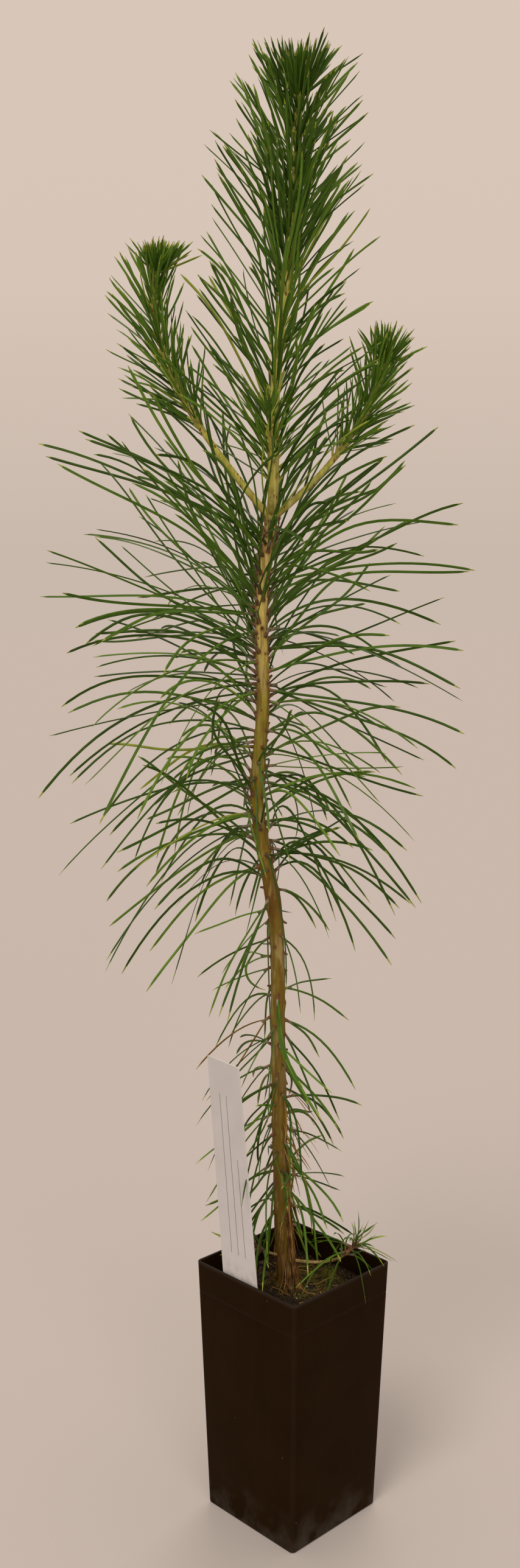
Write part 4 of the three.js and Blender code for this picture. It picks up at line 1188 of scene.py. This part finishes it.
def make_label():
    foot = LABEL_TOP - LABEL_LENGTH
    points, places = [], []
    for row in range(LABEL_ROWS):
        share = 0.5 - 0.5 * math.cos(math.pi * row / (LABEL_ROWS - 1))
        height = mix(foot, LABEL_TOP, share)
        to_end = min(height - foot, LABEL_TOP - height)
        round_off = max(LABEL_CORNER - to_end, 0)
        half = LABEL_WIDTH / 2 - (LABEL_CORNER - math.sqrt(max(LABEL_CORNER ** 2 - round_off ** 2, 0)))
        thick = LABEL_THICKNESS / 2 - max(LABEL_BEVEL - to_end, 0)
        middle, width, across = label_at(height)
        front = (
            (-half, LABEL_BEVEL, 0), (LABEL_BEVEL - half, 0, 1), (-half / 3, 0, 1),
            (half / 3, 0, 1), (half - LABEL_BEVEL, 0, 1), (half, LABEL_BEVEL, 0),
        )
        around = [(a, inset - thick, face) for a, inset, face in front]
        around += [(a, thick - inset, 0) for a, inset, _ in reversed(front)]
        for a, b, face in around:
            points.append((*(middle + a * width + b * across), height))
            places.append((a, share, face))
    label = mesh_object("plant_label", points, tube_faces(LABEL_ROWS, 12), on_label=places)
    finish_piece(label, "label_plastic", 30, "label", material=label_material())


# Bark. A kind of bark has its cushions' width and reach up and down, its strips' number and height,
# how high its cushions rise, and how many points its rings have. Plates have the height of a cell,
# how many go round, and a seed.

BARKS = table("cushion lobes strip rise columns", {
    "old": ((0.95, 0.9, 3.6), 12, 0.11, 0.42, 56),
    "green": ((0.6, 0.7, 4.5), 8, 0.05, 0.24, 36),
    "bough": ((0.6, 0.7, 4.5), 8, 0.05, 0.24, 24),
    "thin": ((0.5, 0.6, 2.0), 6, 0.06, 0.16, 14),
})
BROAD_PLATES = (6.0, 9, 31)
SMALL_PLATES = (2.1, 17, 32)
PLATE_HEIGHT = 0.2
STRIP_CELL = 11.0
SMALL_STRIP_CELL = 3.4
OLD_BARK_FADE = 12
TIP_RINGS = 4


def ripple(place, angle, cell, lobes, seed):
    """Smooth noise from -1 to 1 over a stem, closed round it, in cells along it."""
    rows = int(place.max() / cell) + 3
    values = np.random.default_rng(seed).uniform(-1, 1, (rows, lobes))
    return cell_noise(values, place / cell, angle / math.tau * lobes)


def cushions(place, angle, radius, roots, width, above, below):
    """Raised cushion under every root, running down the stem, and how near each point is to one."""
    height = np.zeros(place.shape)
    near = np.zeros(place.shape)
    for at, turn in roots:
        rows = np.where((place[:, 0] > at - 3.2 * below) & (place[:, 0] < at + 3.2 * above))[0]
        if len(rows) == 0:
            continue
        part = slice(rows[0], rows[-1] + 1)
        along = place[part] - at
        around = ((angle[part] - turn + math.pi) % math.tau - math.pi) * radius[part]
        fade = np.where(along > 0, above, below)
        shape = np.exp(-((along / fade) ** 2) - (around / width) ** 2)
        height[part] = np.maximum(height[part], shape)
        near[part] = np.maximum(near[part], np.exp(-((along / 1.3) ** 2) - (around / (1.1 * width)) ** 2))
    return height, near


def bark_rings(line, places, roots, bark):
    """Rings of a stem with its relief, and how near each point is to a root."""
    columns = bark["columns"]
    angle = np.tile(np.arange(columns) * math.tau / columns, (len(places), 1))
    along = np.tile((places * line.scale)[:, None], (1, columns))
    stations = [line.at(place) for place in places]
    radius = np.tile(np.array([station[3] for station in stations])[:, None], (1, columns))
    height, near = cushions(along, angle, radius, roots, *bark["cushion"])
    old = np.zeros(along.shape)
    if line.limb is None:
        old = np.clip((OLD_BARK_TOP - along) / OLD_BARK_FADE, 0, 1)
    shift = along - along.min()
    plates = 1 - 2 * np.abs(ripple(shift, angle, *BROAD_PLATES)) + 0.5 * ripple(shift, angle, *SMALL_PLATES)
    strips = ripple(shift, angle, STRIP_CELL, bark["lobes"], seed=33)
    strips = strips + 0.6 * ripple(shift, angle, SMALL_STRIP_CELL, 2 * bark["lobes"], seed=34)
    relief = old * PLATE_HEIGHT * plates + (1 - 0.5 * old) * bark["strip"] * strips + bark["rise"] * height
    outer = radius + relief
    if line.limb is None:
        flare = FLARE_LOBE_DEPTH * np.exp((TRUNK_FOOT - along) / FLARE_FADE)
        outer = outer * (1 + flare * np.cos(FLARE_LOBES * (math.pi - angle + math.pi / 2)))
    rings = []
    for k, (point, direction, side, _) in enumerate(stations):
        a, r = angle[k][:, None], outer[k][:, None]
        rings.append(point + r * (np.cos(a) * side + np.sin(a) * lift_at(direction, side)))
    return rings, near


def make_stem(name, slot, material, nodes, shoot, low, high, bark, step=0.5):
    """A stem with bark relief, from low to high along its line, closed by a rounded tip."""
    line = LINES[shoot]
    places = np.linspace(low, high, int((high - low) * line.scale / step))
    rings, near = bark_rings(line, places, roots_on(shoot), BARKS[bark])
    _, direction, _, radius = line.at(high)
    last = rings[-1]
    middle = last.mean(0)
    for k in range(1, TIP_RINGS + 1):
        bend = k * math.pi / 2 / TIP_RINGS
        narrower = (last - middle) * max(math.cos(bend), 0.04)
        rings.append(middle + narrower + direction * radius * math.sin(bend))
        near = np.vstack((near, near[-1:]))
    stem = mesh_object(name, np.concatenate(rings), tube_faces(len(rings), len(last)), scar=near.ravel())
    finish_piece(stem, slot, 70, *nodes, material=material)


def roots_on(shoot):
    """Where needles stand on a shoot: place along it in millimetres, and turn round it."""
    return [
        (needle["place"] * LINES[shoot].scale, needle["turn"] % math.tau)
        for name, mass in MASSES.items() if mass["shoot"] == shoot
        for needles in GROWN[name] for needle in needles if not needle["on_tip"]
    ]


def make_stems():
    make_stem(
        "trunk_bark", "bark", TRUNK_BARK, ["trunk"], "trunk", TRUNK_FOOT - 2, WHORL_HEIGHT, "old", step=0.45,
    )
    make_stem("leader_wood", "green_wood", LEADER_WOOD, [], "trunk", WHORL_HEIGHT - 2, TRUNK_TIP, "green")
    for name, limb in LIMBS.items():
        inside = trunk_radius(limb["height"]) * 0.5 / limb["length"]
        if name.startswith("bough"):
            make_stem(f"{name}_bark", "green_wood", BOUGH_WOOD, [name], name, inside, 1.0, "bough")
        else:
            make_stem(f"{name}_bark", "twig", TWIG_WOOD, [name], name, inside, 1.0, "thin")


# Needles

def needle_shares(length, steps):
    """Shares of a needle's length, even along it and closer together at its tip."""
    body = np.linspace(0, 1 - TIP_STEPS[0] / length, steps)
    return np.concatenate((body, 1 - np.array(TIP_STEPS[1:]) / length))


def girth_at(to_tip, share, girth):
    """Half width of a needle: a little slimmer at its foot, even along it, with a short point."""
    taper = np.minimum(1, to_tip / TAPER_LENGTH) ** 0.65
    foot = 0.82 + 0.18 * np.minimum(1, share / 0.15)
    return np.maximum(girth * taper * foot, LEAST_RADIUS)


def curled(path, start, turn, toward):
    """The path with its last part curled by a turn in degrees towards a direction."""
    steps = np.diff(path, axis=0)
    first = int(start * len(steps))
    heading = unit(steps[first])
    axis = unit(np.cross(heading, toward))
    angle = math.radians(turn) / (len(steps) - first)
    points = list(path[:first + 1])
    for step in steps[first:]:
        heading = heading * math.cos(angle) + np.cross(axis, heading) * math.sin(angle)
        points.append(points[-1] + heading * np.linalg.norm(step))
    return np.array(points)


def pair_lines(needle, mass, line, chance):
    """The two needles of a pair: path, side that it bows to, tint, girths and distances to the tip."""
    aim = needle["aim"]
    across = unit(np.cross(aim, UP))
    lift = np.cross(across, aim)
    turn = chance.random() * math.pi
    split = across * math.cos(turn) + lift * math.sin(turn)
    tint = int(chance.choice(len(TINTS), p=mass["tints"]))
    opening = mass["opening"] * mix(LEAST_OPENING, MOST_OPENING, chance.random())
    swing = mass["swing"] * (chance.random() - 0.5)
    lines = []
    for away in (split, -split):
        hooked = mass["slot"] == "needles_dark" and chance.random() < HOOK_CHANCE
        length = needle["length"] * (HOOK_LENGTH if hooked else 1) * (1 - SHORTER_BY * chance.random() ** 2)
        share = needle_shares(length, HOOK_STEPS if hooked else LEAST_STEPS + int(length / STEP_LENGTH))
        drop = needle["drop"] * (1 + DROP_CHANGE * (chance.random() - 0.5))
        bow = chance.random() - 0.4
        beat, phase = mix(*BEAT, chance.random()), math.tau * chance.random()
        wave = length * mass["wander"] * share * np.sin(beat * math.tau * share + phase)
        free = np.maximum(share * length - SHEATH_LENGTH, 0)
        for eased in EASED:
            one = {**needle, "length": length, "drop": drop, "sway": needle["sway"] + eased * swing}
            slant = math.tan(math.radians(eased * opening / 2)) * free * (1 - 0.2 * share)
            offset = 0.03 + slant + eased * mass["bow"] * bow * length * share ** 2
            path = needle_path(one, share) + away * offset[:, None] + np.cross(aim, away) * wave[:, None]
            if hooked:
                path = curled(path, HOOK_START, HOOK_TURN * (0.4 + 0.6 * bow), -UP - 0.4 * aim)
            if fits(path, mass, line, share * length > CLEAR_AFTER):
                to_tip = (1 - share) * length
                lines.append((path, away, tint, girth_at(to_tip, share, mass["girth"]), to_tip))
                break
    return lines


def lines_object(name, lines):
    """An object of open lines, with bowed side, tint, girth and distance to the tip as attributes."""
    paths, sides, tints, girths, to_tips = zip(*lines)
    counts = [len(path) for path in paths]
    points = np.concatenate(paths)
    ends = np.cumsum(counts) - 1
    inner = np.setdiff1d(np.arange(len(points)), ends)
    return mesh_object(
        name, points, [], np.column_stack((inner, inner + 1)).tolist(),
        away=np.repeat(sides, counts, axis=0), tint=np.repeat(tints, counts),
        girth=np.concatenate(girths), to_tip=np.concatenate(to_tips),
    )


def make_needles():
    """Every mass as one piece of paired needles."""
    for name, mass in MASSES.items():
        chance = np.random.default_rng(mass["seed"] + TINT_SEED)
        shoot = LINES[mass["shoot"]]
        lines = [row for needle in GROWN[name][0] for row in pair_lines(needle, mass, shoot, chance)]
        piece = grown(lines_object(f"{name}_pairs", lines), NEEDLE_TREE, **NEEDLE_MATERIALS)
        finish_piece(piece, mass["slot"], 60, name)


def collar(needle, low, high, length, shape, start=0.0):
    """A short strand along the foot of a pair, between two shares of a length past its start."""
    places = start + np.linspace(low, high, len(shape)) * length
    path = needle_path(needle, places / needle["length"])
    return path, needle["outward"], 0, shape, np.zeros(len(shape))


def scattered_size(chance):
    """A size that varies by 15% either way."""
    return 0.85 + 0.3 * chance.random()


def make_sheaths():
    """The papery sheath round the foot of each pair, and the woody peg that it stands on."""
    chance = np.random.default_rng(61)
    old_sheaths, young_sheaths, pegs = [], [], []
    for name, mass in MASSES.items():
        old = mass["slot"] == "needles_dark"
        kept, fallen = GROWN[name]
        for needle in kept:
            size = mass["girth"] / PEG_GIRTH * scattered_size(chance)
            start = SHEATH_START * PEG_LENGTH if old else 0.0
            length = (SHEATH_LENGTH if old else YOUNG_SHEATH_LENGTH) * scattered_size(chance)
            length *= min(1, 0.55 + 0.45 * needle["length"] / FULL_SHEATH_FROM)
            sheath = collar(needle, 0, 1, length, SHEATH_SHAPE * mass["girth"], start)
            (old_sheaths if old else young_sheaths).append(sheath)
            if old:
                pegs.append(collar(needle, PEG_FOOT, 1, PEG_LENGTH, PEG_SHAPE * size))
        for needle in fallen:
            left = mix(*BARE_PEG_LEFT, chance.random())
            shape = BARE_PEG_SHAPE * mass["girth"] / PEG_GIRTH
            pegs.append(collar(needle, PEG_FOOT, left, PEG_LENGTH, shape))
    for name, lines, material, slot in (
        ("old_needle_sheaths", old_sheaths, OLD_SHEATH, "twig"),
        ("young_needle_sheaths", young_sheaths, YOUNG_SHEATH, "twig"),
        ("needle_pegs", pegs, PEG, "bark"),
    ):
        finish_piece(grown(lines_object(name, lines), STRAND_TREE, Sides=8, Material=material), slot, 60)


def make_scales():
    """Small papery scales under the young needle pairs, and brown ones crowded round the whorl."""
    young, whorl = [], []
    chance = np.random.default_rng(77)
    for name, mass in MASSES.items():
        line = LINES[mass["shoot"]]
        for needle in GROWN[name][0]:
            if needle["on_tip"] or mass["slot"] != "needles_fresh":
                continue
            point, direction, _, radius = line.at(needle["place"])
            out = needle["outward"]
            spot = point + out * (radius + 0.1) - direction * 0.5
            young.append((spot, direction + 0.35 * out, out, 0.4 + 0.25 * chance.random()))
    for k in range(WHORL_SCALES):
        height = WHORL_HEIGHT - WHORL_BELOW + WHORL_BAND * chance.random()
        point, direction, side, radius = LINES["trunk"].at(height)
        out = outward_at(direction, side, math.radians(SPIRAL_TURN * k))
        aim = direction + mix(*SCALE_LEAN, chance.random()) * out
        whorl.append((point + out * (radius + 0.45), aim, out, mix(*SCALE_SIZE, chance.random())))
    for name, rows, material in (("young_scales", young, YOUNG_SHEATH), ("whorl_scales", whorl, SCALE_LEAF)):
        points, aims, sides, sizes = zip(*rows)
        scales = grown(
            mesh_object(name, points, [], aim=aims, away=sides, size=sizes), SCALE_TREE, Length=2.6 * MM,
            Half_Width=0.7 * MM, Flatness=0.32, Point_Width=0.08 * MM, Material=material,
        )
        finish_piece(scales, "twig", 50)


# Litter and fibres: how many there are, and the least and most of what is drawn for each

HANGING_DEAD = 34
HANGING_HEIGHT = (160, 236)
HANGING_AZIMUTH = (-65, 40)
HANGING_DIP = (0.4, 2.6)
HANGING_LENGTH = (9, 24)
HANGING_DROP = (0.1, 0.9)
HANGING_GIRTH = (0.34, 0.5)
LYING_DEAD = 14
LYING_HALF_LENGTH = (4, 11)
LYING_GIRTH = 0.32
DEAD_STEPS = 9
FOOT_FIBRES = 84
FIBRE_STEPS = 15
FIBRE_GIRTH = (0.16, 0.46)
STRIP_AZIMUTH = (-50, 40)
STRIP_TOP = (30, 82)
STRIP_REACH = (1, 5)
ROOT_TOP = (5, 40)
ROOT_REACH = (1.5, 9)


def strand_row(path, away, tint, girth):
    """A line of a dead needle or fibre, whose girth falls off over its last part."""
    to_tip = np.linspace(9, 0, len(path))
    return np.array(path), away, tint, girth * np.minimum(1, 0.3 + to_tip / 4), to_tip


def on_soil(u, v, half):
    """Point on the soil for a place in the pot's own square, held inside its walls."""
    x, y = flat_turn(*np.clip((u, v), -half, half), POT_TURN)
    return x, y, soil_height(x, y)


def make_litter():
    """Dead needles that hang low on the trunk and lie on the soil."""
    chance = np.random.default_rng(91)
    dead = []
    for _ in range(HANGING_DEAD):
        point, _, _, radius = LINES["trunk"].at(mix(*HANGING_HEIGHT, chance.random()))
        out = flat_way(math.radians(mix(*HANGING_AZIMUTH, chance.random())))
        needle = {
            "root": point + out * (radius - 0.1),
            "aim": unit(out - mix(*HANGING_DIP, chance.random()) * UP),
            "length": mix(*HANGING_LENGTH, chance.random()),
            "drop": mix(*HANGING_DROP, chance.random()),
            "sway": 0.8 * (chance.random() - 0.5),
        }
        path = needle_path(needle, np.linspace(0, 1, DEAD_STEPS))
        if path[:, 2].min() > SOIL_LEVEL + 6:
            dead.append(strand_row(path, out, DEAD_TINT, mix(*HANGING_GIRTH, chance.random())))
    half = pot_side_at(SOIL_LEVEL) / 2 - POT_WALL - 3
    for _ in range(LYING_DEAD):
        u, v = (half * (2 * chance.random() - 1) for _ in range(2))
        turn = chance.random() * math.tau
        reach = mix(*LYING_HALF_LENGTH, chance.random())
        spots = [
            on_soil(u + s * reach * math.cos(turn), v + s * reach * math.sin(turn), half)
            for s in np.linspace(-1, 1, DEAD_STEPS)
        ]
        path = np.array(spots) + UP
        if all(clear_of_label(p, 1.0) for p in path):
            dead.append(strand_row(path, UP, DEAD_TINT, LYING_GIRTH))
    piece = grown(
        lines_object("dead_needles", dead), NEEDLE_TREE, Section_Points=5, Tip_Length=-1.0,
        **NEEDLE_MATERIALS,
    )
    finish_piece(piece, "twig", 60)


def make_fibres():
    """Loose strips of bark and thin roots that run down the trunk's foot into the soil."""
    chance = np.random.default_rng(92)
    fibres = []
    for k in range(FOOT_FIBRES):
        if k % 2 == 0:
            azimuth = math.radians(mix(*STRIP_AZIMUTH, chance.random()))
            top = mix(*STRIP_TOP, chance.random())
            reach = mix(*STRIP_REACH, chance.random())
        else:
            azimuth = math.tau * chance.random()
            top = mix(*ROOT_TOP, chance.random())
            reach = mix(*ROOT_REACH, chance.random() ** 2)
        twist = 0.9 * (chance.random() - 0.5)
        path = []
        for s in np.linspace(0, 1, FIBRE_STEPS):
            height = TRUNK_FOOT + top * (1 - s)
            loose = 1.6 * math.sin(math.pi * s) * (k % 3) / 2 + reach * s ** 5
            radius = trunk_radius(height) + 0.05 + loose
            turn = azimuth + twist * s + 0.12 * math.sin(9 * s + k)
            x, y, _ = trunk_point(height) + radius * flat_way(turn)
            path.append((x, y, max(height, soil_height(x, y) + 0.1)))
        fibres.append(strand_row(path, flat_way(azimuth), 0, mix(*FIBRE_GIRTH, chance.random())))
    piece = grown(lines_object("root_fibres", fibres), STRAND_TREE, Sides=6, Material=FIBRE)
    finish_piece(piece, "twig", 60)


# Stage

def set_axes(obj, right, up, back, place):
    """Places a camera or light by its right, up and back directions."""
    matrix = obj.matrix_world.copy()
    for column, axis in enumerate((right, up, back, np.array(place) * MM)):
        for row in range(3):
            matrix[row][column] = axis[row]
    obj.matrix_world = matrix
    bpy.context.scene.collection.objects.link(obj)


def make_sky():
    world = bpy.data.worlds.new("studio")
    world.use_nodes = True
    tree = Graph(world.node_tree)
    ray = tree.add("ShaderNodeTexCoord").outputs["Generated"]
    height = tree.add("ShaderNodeSeparateXYZ", ray).outputs["Z"]
    seen = tree.add("ShaderNodeLightPath").outputs["Is Camera Ray"]
    color = tree.blend(seen, tree.ramp(height, DOME_STOPS), tree.ramp(height, BACKDROP_STOPS))
    tree.fill(tree.tree.nodes["Background"], Color=color, Strength=1.0)
    bpy.context.scene.world = world


def make_stage():
    corners = [(a * FLOOR_HALF, b * FLOOR_HALF, 0) for a, b in SQUARE]
    floor = mesh_object("floor", corners, [(0, 1, 2, 3)])
    floor.data.materials.append(Surface("pale_floor", 0.0).finished(FLOOR_COLOR, 1.0))
    make_sky()
    for name, place, power, spread_angle, color in LIGHTS:
        light = bpy.data.lights.new(name, "SUN")
        light.energy = power
        light.angle = math.radians(spread_angle)
        light.color = color
        back = unit(np.array(place))
        right = unit(np.cross(UP, back))
        set_axes(bpy.data.objects.new(name, light), right, np.cross(back, right), back, (0, 0, 1000))


def make_camera():
    right = np.array((math.cos(CAMERA_YAW), -math.sin(CAMERA_YAW), 0.0))
    level = np.array((math.sin(CAMERA_YAW), math.cos(CAMERA_YAW), 0.0))
    forward = level * math.cos(CAMERA_PITCH) - UP * math.sin(CAMERA_PITCH)
    up = level * math.sin(CAMERA_PITCH) + UP * math.cos(CAMERA_PITCH)
    rolled_right = right * math.cos(CAMERA_ROLL) + up * math.sin(CAMERA_ROLL)
    rolled_up = up * math.cos(CAMERA_ROLL) - right * math.sin(CAMERA_ROLL)
    data = bpy.data.cameras.new("photo_camera")
    data.sensor_width = SENSOR
    data.lens = LENS_PIXELS * SENSOR / PHOTO_HEIGHT
    data.clip_end = 50
    camera = bpy.data.objects.new("photo_camera", data)
    set_axes(camera, rolled_right, rolled_up, -forward, CAMERA_PLACE)
    bpy.context.scene.camera = camera
    bpy.context.scene.view_settings.view_transform = "Standard"


make_camera()
make_stage()
make_pot()
make_soil()
make_label()
make_stems()
make_needles()
make_sheaths()
make_scales()
make_litter()
make_fibres()
